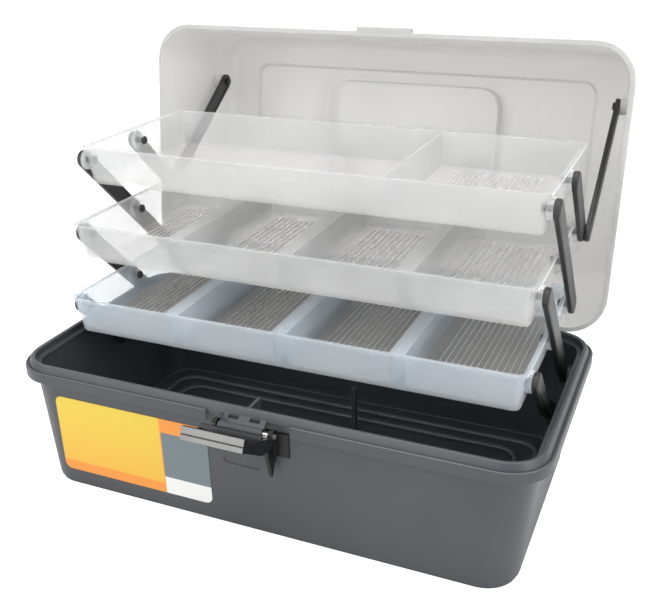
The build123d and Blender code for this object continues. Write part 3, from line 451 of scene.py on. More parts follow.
LABEL_SPLIT_X, LABEL_SEAM = -67.5, 0.9
LABEL_FOOT_Z, LABEL_PAPER_Z, LABEL_STRIP_Z = 20.0, 25.5, 60.0
YELLOW = (0.72, 0.52, 0.040)
AMBER = (0.74, 0.42, 0.035)
ORANGE = (0.78, 0.27, 0.03)
SLATE = (0.13, 0.17, 0.19)
PAPER = (0.74, 0.75, 0.74)


def sticker_print(name):
    """Plain blocks of colour under a thin gloss film."""
    material, shader = new_shader(name, YELLOW, 0.32)
    place = add_node(material, "ShaderNodeTexCoord")
    split = add_node(material, "ShaderNodeSeparateXYZ")
    links = material.node_tree.links
    links.new(place.outputs["Object"], split.inputs["Vector"])
    x, z = split.outputs["X"], split.outputs["Z"]
    fade = add_node(material, "ShaderNodeMapRange", From_Min=0.018, From_Max=0.068)
    links.new(z, fade.inputs["Value"])
    field = paint_over(material, AMBER, fade.outputs["Result"], YELLOW)
    foot = opposite(material, step_at(material, z, LABEL_FOOT_Z))
    field = paint_over(material, field, foot, ORANGE)
    right_part = step_at(material, x, LABEL_SPLIT_X)
    panel = paint_over(material, PAPER, step_at(material, z, LABEL_PAPER_Z), SLATE)
    panel = paint_over(material, panel, step_at(material, z, LABEL_STRIP_Z), ORANGE)
    print_colour = paint_over(material, field, right_part, panel)
    past_seam = step_at(material, x, LABEL_SPLIT_X + LABEL_SEAM)
    seam = both(material, right_part, opposite(material, past_seam))
    print_colour = paint_over(material, print_colour, seam, ORANGE)
    links.new(print_colour, shader.inputs["Base Color"])
    film = object_noise(material, 160.0)
    vary_roughness(material, shader, film, 0.26, 0.4)
    add_grain(material, shader, film, 0.05, 0.0002)
    shader.inputs["Coat Weight"].default_value = 0.25
    return material


tub_grey = satin_plastic("tub_grey", (0.052, 0.056, 0.065), (0.059, 0.063, 0.073), 0.34)
arm_black = satin_plastic("arm_black", (0.020, 0.020, 0.021), (0.028, 0.028, 0.030), 0.38)
# A lighter, glossier grey for the tub's rounded edges, its floor beads and its fittings' edges: a painted
# highlight.
highlight_grey = satin_plastic("highlight_grey", (0.105, 0.110, 0.122), (0.125, 0.130, 0.142), 0.26)
# Near-black latch plastic; on the bracket its darkness also stands in as painted shade.
latch_gloss = satin_plastic("latch_gloss", (0.004, 0.004, 0.005), (0.007, 0.007, 0.008), 0.26, 0.15, 0.35)
lever_face = satin_plastic("lever_face", (0.20, 0.20, 0.20), (0.26, 0.26, 0.255), 0.42)
lid_milk = milky_plastic("lid_milk", (0.79, 0.785, 0.775), (0.815, 0.81, 0.80), 0.74)
# A darker copy of the lid plastic for the lip, the tab and the rounded edges: painted shade that keeps
# the lit lip from washing out.
lid_shaded_edge = milky_plastic("lid_shaded_edge", (0.50, 0.50, 0.495), (0.56, 0.56, 0.555), 0.84)
tray_milk = milky_plastic("tray_milk", (0.645, 0.65, 0.65), (0.695, 0.70, 0.70), 0.36)
# A lighter, bluer copy of the tray plastic for the bottom tray: painted light that lifts the shade under
# the middle tray.
low_tray_lit_milk = milky_plastic("low_tray_lit_milk", (0.72, 0.80, 0.88), (0.77, 0.84, 0.91), 0.38)
# A lighter, warmer copy of the tray plastic for the floors, a little clearer as thinner plastic: the
# lighter colour is painted light.
tray_floor_lit_milk = milky_plastic("tray_floor_lit_milk", (0.74, 0.725, 0.70), (0.80, 0.785, 0.76), 0.32)
# A near-white, more solid copy of the tray plastic for the ends of the lip and the rounded edges: a
# painted highlight.
tray_edge_highlight = milky_plastic("tray_edge_highlight", (0.84, 0.86, 0.88), (0.89, 0.91, 0.92), 0.80)
# Near-white, more solid ribs for the bottom tray: a painted highlight along the ribs.
rib_highlight_milk = milky_plastic("rib_highlight_milk", (0.86, 0.86, 0.86), (0.92, 0.92, 0.92), 0.80, grain=0.0)
faint_rib = milky_plastic("faint_rib", (0.74, 0.73, 0.71), (0.80, 0.79, 0.77), 0.15, grain=0.0)
wire = drawn_wire("wire")
sticker = sticker_print("sticker")


# Tub


def wall_loop(z, inset):
    """A loop of the tub's sloping wall at a height."""
    share = z / WALL_TOP_Z
    half_x = (FOOT_LENGTH + (WALL_TOP_LENGTH - FOOT_LENGTH) * share) / 2
    half_y = (FOOT_WIDTH + (WALL_TOP_WIDTH - FOOT_WIDTH) * share) / 2
    return rounded_loop(half_x - inset, half_y - inset, FOOT_CORNER + 2 * share - inset, z)


def rim_loop(inset, z):
    return rounded_loop(TUB_LENGTH / 2 - inset, TUB_WIDTH / 2 - inset, TUB_CORNER - inset, z)


def wall_y(z):
    """Distance of the tub's front face from the middle at a height."""
    return (FOOT_WIDTH + (WALL_TOP_WIDTH - FOOT_WIDTH) * z / WALL_TOP_Z) / 2


def tub_shell():
    ledge_low = LEDGE_Z - LEDGE_THICK
    return loft(
        [
            wall_loop(0, FOOT_INSET),
            wall_loop(FOOT_HEIGHT, FOOT_INSET),
            wall_loop(FOOT_HEIGHT, 0),
            wall_loop(ledge_low, 0),
            rim_loop(SKIRT_THICK, ledge_low),
            rim_loop(SKIRT_THICK, SKIRT_LOW),
            rim_loop(0, SKIRT_LOW),
            rim_loop(0, SKIRT_TOP - 1.1),
            rim_loop(0.35, SKIRT_TOP - 0.3),
            rim_loop(SKIRT_THICK - 0.3, SKIRT_TOP),
            rim_loop(SKIRT_THICK, SKIRT_TOP - 0.2),
            rim_loop(SKIRT_THICK, LEDGE_Z),
            rim_loop(SKIRT_THICK + GROOVE, LEDGE_Z),
            rim_loop(TONGUE_TOP_INSET - 0.2, CREST_Z - 0.6),
            rim_loop(TONGUE_TOP_INSET + 0.5, CREST_Z),
            rim_loop(TONGUE_INNER_INSET - 0.6, CREST_Z),
            rim_loop(TONGUE_INNER_INSET, CREST_Z - 0.6),
            rim_loop(TONGUE_INNER_INSET, LEDGE_Z),
            rim_loop(LEDGE_INSET, LEDGE_Z),
            rim_loop(LEDGE_INSET, ledge_low),
            wall_loop(ledge_low, TUB_WALL),
            wall_loop(TUB_FLOOR + 2.0, TUB_WALL),
            wall_loop(TUB_FLOOR + 0.5, TUB_WALL + 0.6),
            wall_loop(TUB_FLOOR, TUB_WALL + 2.2),
        ]
    )


def floor_bead(half_x, half_y):
    """A raised bead that runs round the floor."""
    inner = (half_x - BEAD_WIDTH, half_y - BEAD_WIDTH, BEAD_CORNER - BEAD_WIDTH)
    low, top = TUB_FLOOR - 0.3, TUB_FLOOR + BEAD_HEIGHT
    return loft(
        [
            rounded_loop(half_x, half_y, BEAD_CORNER, low),
            rounded_loop(half_x, half_y, BEAD_CORNER, top),
            rounded_loop(*inner, top),
            rounded_loop(*inner, low),
        ],
        ring=True,
    )


def latch_plate():
    """The sloping plate with the barrel for the latch pin."""
    outline = [
        (PLATE_BACK - 1.0, WALL_TOP_Z),
        (PLATE_FRONT + 1.6, 81.2),
        (PLATE_FRONT, 83.6),
        (PLATE_BACK - 2.0, PLATE_LIP),
        (PLATE_BACK, PLATE_LIP),
        (PLATE_BACK, WALL_TOP_Z),
    ]
    left, right = PLATE_X - PLATE_HALF, PLATE_X + PLATE_HALF
    return [prism(outline, left, right), rod(left, right, PLATE_BARREL_R, LATCH_PIN_Y, LATCH_PIN_Z)]


def plate_windows():
    """Two windows through the plate in front of the latch pin."""
    windows = []
    for side in SIDES:
        middle = PLATE_X + side * PLATE_HALF / 2
        near, far = LATCH_PIN_Y + WINDOW_NEAR, LATCH_PIN_Y + WINDOW_FAR
        windows.append(block(middle - WINDOW_HALF, middle + WINDOW_HALF, near, far, 80.0, 92.0))
    return windows


def make_tub():
    """The shell with its rim cut open at the latch, the latch plate, and the beads of the floor."""
    tub = make_piece("tub", [tub_shell()])
    left, right = LATCH_X - CUT_HALF, LATCH_X + CUT_HALF
    cut = block(left, right, CUT_FRONT, CUT_BACK, SKIRT_LOW - 1, CREST_Z + 1)
    combine(tub, "DIFFERENCE", [cut, slot_tool()])
    plate = make_piece("latch_plate", latch_plate())
    combine(plate, "DIFFERENCE", plate_windows())
    beads = make_piece("floor_beads", [floor_bead(*half_sizes) for half_sizes in BEADS])
    round_edges(beads, BEAD_ROUNDING, steps=4)
    return tub, plate, beads


def slot_tool():
    """The long shallow slot in the front wall below the latch."""
    outline = []
    for centre, start in ((SLOT_RIGHT, -90), (SLOT_LEFT, 90)):
        for step in range(9):
            angle = math.radians(start + 180 * step / 8)
            outline.append((centre + SLOT_R * math.cos(angle), SLOT_Z + SLOT_R * math.sin(angle)))
    front = -wall_y(SLOT_Z)
    return loft([[(x, y, z) for x, z in outline] for y in (front + SLOT_DEPTH, front - 1.0)])


tub, plate, beads = make_tub()
# The rounded edges of the shell and the latch plate take the lighter grey as a painted highlight.
for piece in (tub, plate):
    piece.data.materials.clear()
    piece.data.materials.append(tub_grey)
    piece.data.materials.append(highlight_grey)
    round_edges(piece, 0.4, material=1)
# The floor beads are wholly in the lighter grey: a painted highlight on their tops.
beads.data.materials.append(highlight_grey)
stands_for(tub, "base", "tub_plastic", "base_tub")
stands_for(plate, "base", "tub_plastic")
stands_for(beads, "base", "tub_plastic")


def tub_fittings():
    """Post, gusset and arm bosses, which stay apart from the shell."""
    solids = [block(*POST_X, *POST_Y, TUB_FLOOR - 0.3, POST_TOP)]
    top = LEDGE_Z - LEDGE_THICK + 0.3
    wall = -wall_y(top) + TUB_WALL / 2
    edge = wall + GUSSET_REACH
    gusset = [(wall, top - GUSSET_DEEP), (edge, top - GUSSET_EDGE), (edge, top), (wall, top)]
    solids.append(prism(gusset, *GUSSET_X))
    for (y, z), near in ((BASE_FRONT, FRONT_BOSS_X), (BASE_REAR, REAR_BOSS_X)):
        far = (FOOT_LENGTH + (WALL_TOP_LENGTH - FOOT_LENGTH) * z / WALL_TOP_Z) / 2 - TUB_WALL / 2
        for side in SIDES:
            solids.append(rod(side * near, side * far, BOSS_R, y, z))
    return solids


fittings = make_piece("tub_fittings", tub_fittings())
fittings.data.materials.append(tub_grey)
fittings.data.materials.append(highlight_grey)
# The fittings' rounded edges take the lighter grey as a painted highlight.
round_edges(fittings, 0.4, material=1)
stands_for(fittings, "base", "tub_plastic")

# Lid

open_angle = math.radians(LID_OPEN)
LID_UP = Vector((0, math.sin(open_angle), math.cos(open_angle)))
LID_ALONG = Vector((0, -math.cos(open_angle), math.sin(open_angle)))


def lid_place(point):
    """From X, the distance from the hinge towards the latch, and the height of the shut lid."""
    x, s, h = point
    place = Vector((x, HINGE_Y, HINGE_Z)) + LID_ALONG * s + LID_UP * h
    return tuple(place)


def lid_loop(half_x, half_y, corner, h):
    """A loop in the lid, which reads X, s and h with s running from the hinge."""
    loop = rounded_loop(half_x, half_y, corner, h)
    return [(x, LID_MIDDLE_S - y, h) for x, y, h in loop]


def grown(size, step):
    return tuple(value + step for value in size)


def lid_shell():
    """From the inside of the recess down the inner face, round the lip and up the outer face."""
    crown = ROOF_H - LID_WALL
    fillet = [(1 - math.cos(a), math.sin(a)) for a in (math.radians(15 * i) for i in range(7))]
    inner_roof = grown(LID_ROOF, -LID_WALL)
    inner_start, outer_start = crown - INNER_FILLET, ROOF_H - ROOF_FILLET
    recess_floor = ROOF_H + PANEL_RISE - RECESS_DEPTH
    well = grown(RECESS, LID_WALL)
    loops = [
        lid_loop(*well, recess_floor - LID_WALL),
        lid_loop(*well, crown + PANEL_RISE),
        lid_loop(*grown(PANEL, -LID_WALL - PANEL_SLOPE), crown + PANEL_RISE),
        lid_loop(*grown(PANEL, -LID_WALL), crown),
    ]
    for out, up in reversed(fillet):
        loops.append(lid_loop(*grown(inner_roof, -INNER_FILLET * out), inner_start + INNER_FILLET * up))
    loops.append(lid_loop(*grown(LID_FOOT, -LID_WALL), LID_BOTTOM))
    lip = (LID_HALF_LENGTH, LID_HALF_WIDTH, LID_CORNER)
    loops.append(lid_loop(*lip, LID_BOTTOM))
    loops.append(lid_loop(*lip, LIP_TOP))
    loops.append(lid_loop(*grown(LID_FOOT, STEP_OUT), LIP_TOP))
    loops.append(lid_loop(*grown(LID_FOOT, STEP_OUT), STEP_TOP))
    loops.append(lid_loop(*grown(LID_FOOT, -0.2), STEP_TOP))
    for out, up in fillet:
        loops.append(lid_loop(*grown(LID_ROOF, -ROOF_FILLET * out), outer_start + ROOF_FILLET * up))
    loops.append(lid_loop(*PANEL, ROOF_H))
    loops.append(lid_loop(*grown(PANEL, -PANEL_SLOPE), ROOF_H + PANEL_RISE))
    loops.append(lid_loop(*RECESS, ROOF_H + PANEL_RISE))
    loops.append(lid_loop(*RECESS, recess_floor))
    return moved(loft(loops), lid_place)


def in_lid(solid):
    """A solid given in X, s and h, with its faces turned because those axes are left-handed."""
    points, faces = moved(solid, lid_place)
    return points, [tuple(reversed(face)) for face in faces]


def lid_fittings():
    """The tab the latch hooks over, the link bosses and the lugs of the carry handle."""
    solids = [block(TAB_X - TAB_HALF, TAB_X + TAB_HALF, *TAB_S, LID_BOTTOM, TAB_TOP)]
    low, high = LID_MIDDLE_S - LUG_HALF, LID_MIDDLE_S + LUG_HALF
    for side in SIDES:
        boss_from, boss_to = sorted(side * x for x in LINK_BOSS_X)
        solids.append(rod(boss_from, boss_to, LINK_BOSS_R, LINK_S, LINK_H))
        lug_from, lug_to = sorted(side * x for x in LUG_X)
        solids.append(block(lug_from, lug_to, low, high, *LUG_H))
    return [in_lid(solid) for solid in solids]


def barrel_notches():
    """Room in the rear lip for the tub's barrels on both sides of each barrel of the lid."""
    solids = []
    length = TUB_BARREL + 2 * BARREL_GAP
    for x in BARREL_X:
        for start in (x - LID_BARREL / 2 - length, x + LID_BARREL / 2):
            solids.append(rod(start, start + length, BARREL_R + NOTCH_GAP, HINGE_Y, HINGE_Z))
    return solids


lid = make_piece("lid", [lid_shell()])
combine(lid, "UNION", lid_fittings())
combine(lid, "DIFFERENCE", barrel_notches())
lid.data.materials.clear()
lid.data.materials.append(lid_milk)
lid.data.materials.append(lid_shaded_edge)
# Faces below the step, the lip and the tab, take the darker copy as painted shade; the rounded edges take
# it too.
lip_limit = Vector(lid_place((0, 0, STEP_TOP + 0.1))).dot(LID_UP) * MM
for face in lid.data.polygons:
    if max(lid.data.vertices[i].co.dot(LID_UP) for i in face.vertices) < lip_limit:
        face.material_index = 1
round_edges(lid, 0.6, material=1)
stands_for(lid, "lid", "lid_clear", "lid_shell")

# Hinge barrels, repeated by Geometry Nodes


def new_tree(name, sizes):
    """A node tree with named number inputs after its geometry input."""
    tree = bpy.data.node_groups.new(name, "GeometryNodeTree")
    tree.interface.new_socket("Geometry", in_out="INPUT", socket_type="NodeSocketGeometry")
    for size_name, value in sizes.items():
        socket_type = "NodeSocketInt" if isinstance(value, int) else "NodeSocketFloat"
        socket = tree.interface.new_socket(size_name, in_out="INPUT", socket_type=socket_type)
        socket.default_value = value
    tree.interface.new_socket("Geometry", in_out="OUTPUT", socket_type="NodeSocketGeometry")
    return tree, tree.nodes.new("NodeGroupInput"), tree.nodes.new("NodeGroupOutput")


def run_tree(name, tree, sizes, seed_points):
    """A plain mesh piece made by a node tree from a few points in millimetres."""
    mesh = bpy.data.meshes.new(name)
    mesh.from_pydata([tuple(c * MM for c in point) for point in seed_points], [], [])
    piece = link_piece(name, mesh)
    repeat = piece.modifiers.new("repeat", "NODES")
    repeat.node_group = tree
    for item in tree.interface.items_tree:
        if item.item_type == "SOCKET" and item.in_out == "INPUT" and item.name in sizes:
            repeat[item.identifier] = sizes[item.name]
    settle(piece)
    return piece


def finish_tree(tree, geometry, output, material):
    real = tree.nodes.new("GeometryNodeRealizeInstances")
    paint = tree.nodes.new("GeometryNodeSetMaterial")
    paint.inputs["Material"].default_value = material
    tree.links.new(geometry, real.inputs["Geometry"])
    tree.links.new(real.outputs["Geometry"], paint.inputs["Geometry"])
    tree.links.new(paint.outputs["Geometry"], output.inputs["Geometry"])


def lathe_tree(name, material):
    """Puts a turned rod along X on each point, with rounded ends."""
    tree, source, output = new_tree(name, {"Length": 0.02, "Radius": 0.002, "Rounding": 0.0004})
    nodes, links = tree.nodes, tree.links
    line = nodes.new("GeometryNodeCurvePrimitiveLine")
    ends = nodes.new("ShaderNodeCombineXYZ")
    links.new(source.outputs["Length"], ends.inputs["X"])
    links.new(ends.outputs["Vector"], line.inputs["End"])
    parts = nodes.new("GeometryNodeResampleCurve")
    parts.inputs["Count"].default_value = 24
    links.new(line.outputs["Curve"], parts.inputs["Curve"])
    # The end's rounding follows from the distance to the nearer end
    along = nodes.new("GeometryNodeSplineParameter").outputs["Length"]
    to_end = math_node(tree, "SUBTRACT", source.outputs["Length"], along)
    share = nodes.new("ShaderNodeMapRange")
    share.interpolation_type = "SMOOTHSTEP"
    share.inputs["To Min"].default_value = 0.86
    links.new(math_node(tree, "MINIMUM", along, to_end), share.inputs["Value"])
    links.new(source.outputs["Rounding"], share.inputs["From Max"])
    width = math_node(tree, "MULTIPLY", share.outputs["Result"], source.outputs["Radius"])
    profile = nodes.new("GeometryNodeCurvePrimitiveCircle")
    profile.inputs["Resolution"].default_value = 24
    profile.inputs["Radius"].default_value = 1.0
    skin = nodes.new("GeometryNodeCurveToMesh")
    skin.inputs["Fill Caps"].default_value = True
    links.new(parts.outputs["Curve"], skin.inputs["Curve"])
    links.new(profile.outputs["Curve"], skin.inputs["Profile Curve"])
    links.new(width, skin.inputs["Scale"])
    copies = nodes.new("GeometryNodeInstanceOnPoints")
    links.new(source.outputs["Geometry"], copies.inputs["Points"])
    links.new(skin.outputs["Mesh"], copies.inputs["Instance"])
    finish_tree(tree, copies.outputs["Instances"], output, material)
    return tree


def turned_rods(name, material, body, slot, places, length, radius, rounding=0.4, nodes=()):
    """Equal rods along X that start at the given places."""
    tree = lathe_tree(name + "_tree", material)
    sizes = {"Length": length * MM, "Radius": radius * MM, "Rounding": rounding * MM}
    piece = run_tree(name, tree, sizes, places)
    smooth(piece)
    stands_for(piece, body, slot, *nodes)
    return piece


barrel_half = LID_BARREL / 2
tub_places = []
lid_places = []
for x in BARREL_X:
    lid_places.append((x - barrel_half, HINGE_Y, HINGE_Z))
    tub_places.append((x + barrel_half + BARREL_GAP, HINGE_Y, HINGE_Z))
    tub_places.append((x - barrel_half - BARREL_GAP - TUB_BARREL, HINGE_Y, HINGE_Z))
turned_rods("tub_barrels", tub_grey, "base", "tub_plastic", tub_places, TUB_BARREL, BARREL_R)
turned_rods("lid_barrels", lid_milk, "lid", "lid_clear", lid_places, LID_BARREL, BARREL_R)
webs = []
for x, y, z in tub_places:
    webs.append(block(x, x + TUB_BARREL, HINGE_WEB_Y, HINGE_Y, HINGE_Z - BARREL_R, SKIRT_TOP))
tub_webs = make_piece("tub_hinge_webs", webs)
tub_webs.data.materials.append(tub_grey)
round_edges(tub_webs, 0.3)
stands_for(tub_webs, "base", "tub_plastic")

# Trays


def tray_loop(half_y, z, inset, lip=0.0):
    """A loop round a tray at a height over its underside."""
    share = 1 - z / TRAY_HEIGHT
    half_x = TRAY_HALF_LENGTH - TRAY_LIP - TRAY_DRAFT_X * share + lip - inset
    depth = half_y - TRAY_LIP - TRAY_DRAFT_Y * share + lip - inset
    corner = max(TRAY_CORNER - inset + lip - TRAY_LIP, 2.5)
    return rounded_loop(half_x, depth, corner, z)


def tray_shell(half_y):
    lip_low = TRAY_HEIGHT - TRAY_LIP_HEIGHT
    return loft(
        [
            tray_loop(half_y, 0, 1.6),
            tray_loop(half_y, 0.5, 0.5),
            tray_loop(half_y, 1.7, 0),
            tray_loop(half_y, lip_low, 0),
            tray_loop(half_y, lip_low, 0, TRAY_LIP),
            tray_loop(half_y, TRAY_HEIGHT, 0, TRAY_LIP),
            tray_loop(half_y, TRAY_HEIGHT, TRAY_WALL),
            tray_loop(half_y, TRAY_FLOOR + 1.5, TRAY_WALL),
            tray_loop(half_y, TRAY_FLOOR, TRAY_WALL + 1.5),
        ]
    )


def cross_wall(half_y, x, thickness):
    """A wall across a tray that follows the slope of its sides."""
    low = half_y - TRAY_LIP - TRAY_DRAFT_Y - TRAY_WALL / 2
    top = TRAY_HEIGHT - DIVIDER_DROP
    high = low + TRAY_DRAFT_Y * top / TRAY_HEIGHT
    outline = [(-low, 0.2), (low, 0.2), (high, top), (-high, top)]
    return prism(outline, x - thickness / 2, x + thickness / 2)


def make_tray(name, body, width, dividers, thickness, pivots, rib_groups):
    """A milky tray; the CAD node of the same name as its body gives its place."""
    low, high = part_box(body)
    half_y = width / 2
    middle = (low.y + high.y) / 2 / MM
    base = low.z / MM
    tray = make_piece(name, [tray_shell(half_y)])
    extras = [cross_wall(half_y, x, thickness) for x in dividers]
    boss_z = TRAY_HEIGHT - PIVOT_BELOW_RIM
    for y, z in pivots:
        for side in SIDES:
            boss_end, seat_end = side * (ARM_IN - 0.3), side * (TRAY_BOSS_X + 0.8)
            extras.append(rod(side * TRAY_BOSS_X, boss_end, BOSS_R, y - middle, boss_z))
            extras.append(rod(side * HEAD_SEAT_X, seat_end, HEAD_SEAT_R, y - middle, boss_z))
    for extra in extras:
        combine(tray, "UNION", [extra])
    if thickness > 2 * DIVIDER_WALL:
        reach = half_y - TRAY_LIP - TRAY_DRAFT_Y - TRAY_WALL
        slot_half = thickness / 2 - DIVIDER_WALL
        slot_top = TRAY_HEIGHT - DIVIDER_DROP - DIVIDER_WALL
        slots = [block(x - slot_half, x + slot_half, -reach, reach, -1.0, slot_top) for x in dividers]
        combine(tray, "DIFFERENCE", slots)
    tray.data.transform(Matrix.Translation(Vector((0, middle, base)) * MM))
    # The bottom tray takes the lighter copy as painted light against the shade of the trays above.
    walls = low_tray_lit_milk if body == "tray_bottom" else tray_milk
    for material in (walls, tray_edge_highlight, tray_floor_lit_milk):
        tray.data.materials.append(material)
    floor_z = (base + TRAY_FLOOR + 0.05) * MM
    for face in tray.data.polygons:
        # Floors take the lighter, warmer copy: painted light.
        if abs(face.normal.z) > 0.9 and face.center.z < floor_z:
            face.material_index = 2
        # The ends of the lip take the near-white copy, as the rounded edges below do: a painted
        # highlight.
        if abs(face.center.x) > (TRAY_HALF_LENGTH - TRAY_LIP_OUT) * MM:
            face.material_index = 1
    round_edges(tray, 0.45, material=1)
    stands_for(tray, body, "tray_clear", body)
    add_ribs(name + "_ribs", body, rib_groups, middle, base + TRAY_FLOOR)
    return tray


def rib_tree():
    """Thin raised ribs side by side along X, each running from front to back."""
    sizes = {"Count": 12, "Pitch": 0.004, "Length": 0.1, "Width": 0.0007, "Height": 0.0006}
    tree, source, output = new_tree("floor_ribs", sizes)
    nodes, links = tree.nodes, tree.links
    step = nodes.new("ShaderNodeCombineXYZ")
    links.new(source.outputs["Pitch"], step.inputs["X"])
    row = nodes.new("GeometryNodeMeshLine")
    links.new(source.outputs["Count"], row.inputs["Count"])
    links.new(step.outputs["Vector"], row.inputs["Offset"])
    line = nodes.new("GeometryNodeCurvePrimitiveLine")
    end = nodes.new("ShaderNodeCombineXYZ")
    links.new(source.outputs["Length"], end.inputs["Y"])
    links.new(end.outputs["Vector"], line.inputs["End"])
    section = nodes.new("GeometryNodeCurvePrimitiveQuadrilateral")
    section.mode = "TRAPEZOID"
    links.new(source.outputs["Width"], section.inputs["Bottom Width"])
    links.new(math_node(tree, "MULTIPLY", source.outputs["Width"], 0.6), section.inputs["Top Width"])
    links.new(source.outputs["Height"], section.inputs["Height"])
    section.inputs["Offset"].default_value = 0.0
    rib = nodes.new("GeometryNodeCurveToMesh")
    rib.inputs["Fill Caps"].default_value = True
    links.new(line.outputs["Curve"], rib.inputs["Curve"])
    links.new(section.outputs["Curve"], rib.inputs["Profile Curve"])
    on_row = nodes.new("GeometryNodeInstanceOnPoints")
    links.new(row.outputs["Mesh"], on_row.inputs["Points"])
    links.new(rib.outputs["Mesh"], on_row.inputs["Instance"])
    groups = nodes.new("GeometryNodeInstanceOnPoints")
    links.new(source.outputs["Geometry"], groups.inputs["Points"])
    links.new(on_row.outputs["Instances"], groups.inputs["Instance"])
    # The ribs' near-white colour is a painted highlight.
    finish_tree(tree, groups.outputs["Instances"], output, rib_highlight_milk)
    return tree


RIB_TREE = rib_tree()


def add_ribs(name, body, groups, middle, floor):
    """Ribs on the floor of a tray, from the first X of each group, their count and their reach."""
    starts, count, reach = groups
    sizes = {
        "Count": count,
        "Pitch": RIB_PITCH * MM,
        "Length": 2 * reach * MM,
        "Width": RIB_WIDTH * MM,
        "Height": RIB_HEIGHT * MM,
    }
    seeds = [(x, middle - reach, floor + RIB_HEIGHT / 2 - RIB_SUNK) for x in starts]
    ribs = run_tree(name, RIB_TREE, sizes, seeds)
    # Ribs on the other trays take a faint copy in the floors' colour instead of the painted highlight.
    if body != "tray_bottom":
        ribs.data.materials[0] = faint_rib
    stands_for(ribs, body, "tray_clear")
    return ribs


low_pivots = (LOW_FRONT, LOW_REAR, LOW_BACK)
mid_pivots = (MID_FRONT, MID_REAR, MID_BACK)
top_pivots = (TOP_FRONT, TOP_REAR)
four_ribs = ((-142.0, -66.0, 14.0, 94.0), 13, 58.0)
top_ribs = ((76.0,), 15, 50.0)
low_parts = (LOW_TRAY_WIDTH, DIVIDERS, DIVIDER_WIDTH)
top_parts = (TOP_TRAY_WIDTH, (TOP_DIVIDER_X,), TOP_DIVIDER_WALL)
make_tray("bottom_tray", "tray_bottom", *low_parts, low_pivots, four_ribs)
make_tray("middle_tray", "tray_middle", *low_parts, mid_pivots, four_ribs)
make_tray("top_tray", "tray_top", *top_parts, top_pivots, top_ribs)

# Pins: a shaft and a rounded head on each side, repeated by Geometry Nodes


def add_pins(name, node, body, pivots, reach):
    """Heads look inwards; the reach gives X of the shaft's start under the head and of its end."""
    heads = []
    shafts = []
    near, far = reach
    for y, z in pivots:
        for side in SIDES:
            heads.append((min(side * near, side * (near - HEAD_LENGTH)), y, z))
            shafts.append((min(side * near, side * far), y, z))
    look = (arm_black, body, "pin_plastic")
    turned_rods(name + "_heads", *look, heads, HEAD_LENGTH, HEAD_R, 0.7, (node,))
    turned_rods(name + "_shafts", *look, shafts, far - near, PIN_R, 0.3)


LID_BOSS = lid_place((0, LINK_S, LINK_H))[1:]
add_pins("bottom_pins", "pins_bottom_tray", "tray_bottom", low_pivots, TRAY_PIN)
add_pins("middle_pins", "pins_middle_tray", "tray_middle", mid_pivots, TRAY_PIN)
add_pins("top_pins", "pins_top_tray", "tray_top", top_pivots, TRAY_PIN)
add_pins("front_base_pins", "pins_base", "base", (BASE_FRONT,), FRONT_BASE_PIN)
add_pins("rear_base_pins", "pins_base", "base", (BASE_REAR,), REAR_BASE_PIN)
add_pins("link_pins", "pins_lid", "lid", (LID_BOSS,), LINK_PIN)

# Arms


def long_loop(length, radius, x, joggle, side):
    """A loop with round ends along an arm; the joggle moves its start outwards."""
    outline = []
    steps = 12
    for step in range(steps + 1):
        angle = math.radians(-90 + 180 * step / steps)
        outline.append((length + radius * math.cos(angle), radius * math.sin(angle)))
    runs = 14
    for run in range(1, runs):
        outline.append((length * (1 - run / runs), radius))
    for step in range(steps + 1):
        angle = math.radians(90 + 180 * step / steps)
        outline.append((radius * math.cos(angle), radius * math.sin(angle)))
    for run in range(1, runs):
        outline.append((length * run / runs, -radius))
    points = []
    for u, v in outline:
        share = min(max((JOGGLE_END - u) / JOGGLE_RUN, 0.0), 1.0)
        shift = joggle * share * share * (3 - 2 * share)
        points.append((side * (x + shift), u, v * side))
    return points


def arm_bar(start, end, inner, thickness, radius, joggle, side):
    """A flat bar with rounded edges and a shallow channel in its inner face."""
    length = math.dist(start, end)
    along = ((end[0] - start[0]) / length, (end[1] - start[1]) / length)
    outer = inner + thickness
    rows = [
        (radius - 2.6, inner + 0.7),
        (radius - 2.0, inner),
        (radius - 0.6, inner),
        (radius - 0.15, inner + 0.25),
        (radius, inner + 0.8),
        (radius, outer - 1.3),
        (radius - 0.3, outer - 0.6),
        (radius - 1.0, outer - 0.15),
        (radius - 2.2, outer),
    ]
    points, faces = loft([long_loop(length, r, x, joggle, side) for r, x in rows])
    placed = []
    for x, u, v in points:
        y = start[0] + along[0] * u - along[1] * v
        z = start[1] + along[1] * u + along[0] * v
        placed.append((x, y, z))
    return placed, faces


# Start, end, X of the inner face, thickness, radius of the ends and joggle
ARMS = {
    "arm_a": (BASE_FRONT, LOW_FRONT, ARM_IN, ARM_THICK, ARM_R, 4.0),
    "arm_b": (BASE_REAR, MID_FRONT, ARM_IN, ARM_THICK, ARM_R, 0.8),
    "arm_c": (LOW_BACK, TOP_FRONT, ARM_IN, ARM_THICK, ARM_R, 0.0),
    "arm_d": (MID_BACK, TOP_REAR, ARM_IN, ARM_THICK, ARM_R, 0.0),
    "lid_link": (LID_BOSS, MID_BACK, LINK_IN, LINK_THICK, LINK_R, 0.0),
}
for name, sizes in ARMS.items():
    for side, side_name in zip(SIDES, ("left", "right")):
        bar = make_piece(name + "_bar_" + side_name, [arm_bar(*sizes, side)])
        bar.data.materials.append(arm_black)
        smooth(bar)
        stands_for(bar, name, "arm_plastic", name + "_" + side_name)

# Latch and carry handle: copies with rounded edges; the small CAD nodes keep their meshes and get new
# materials

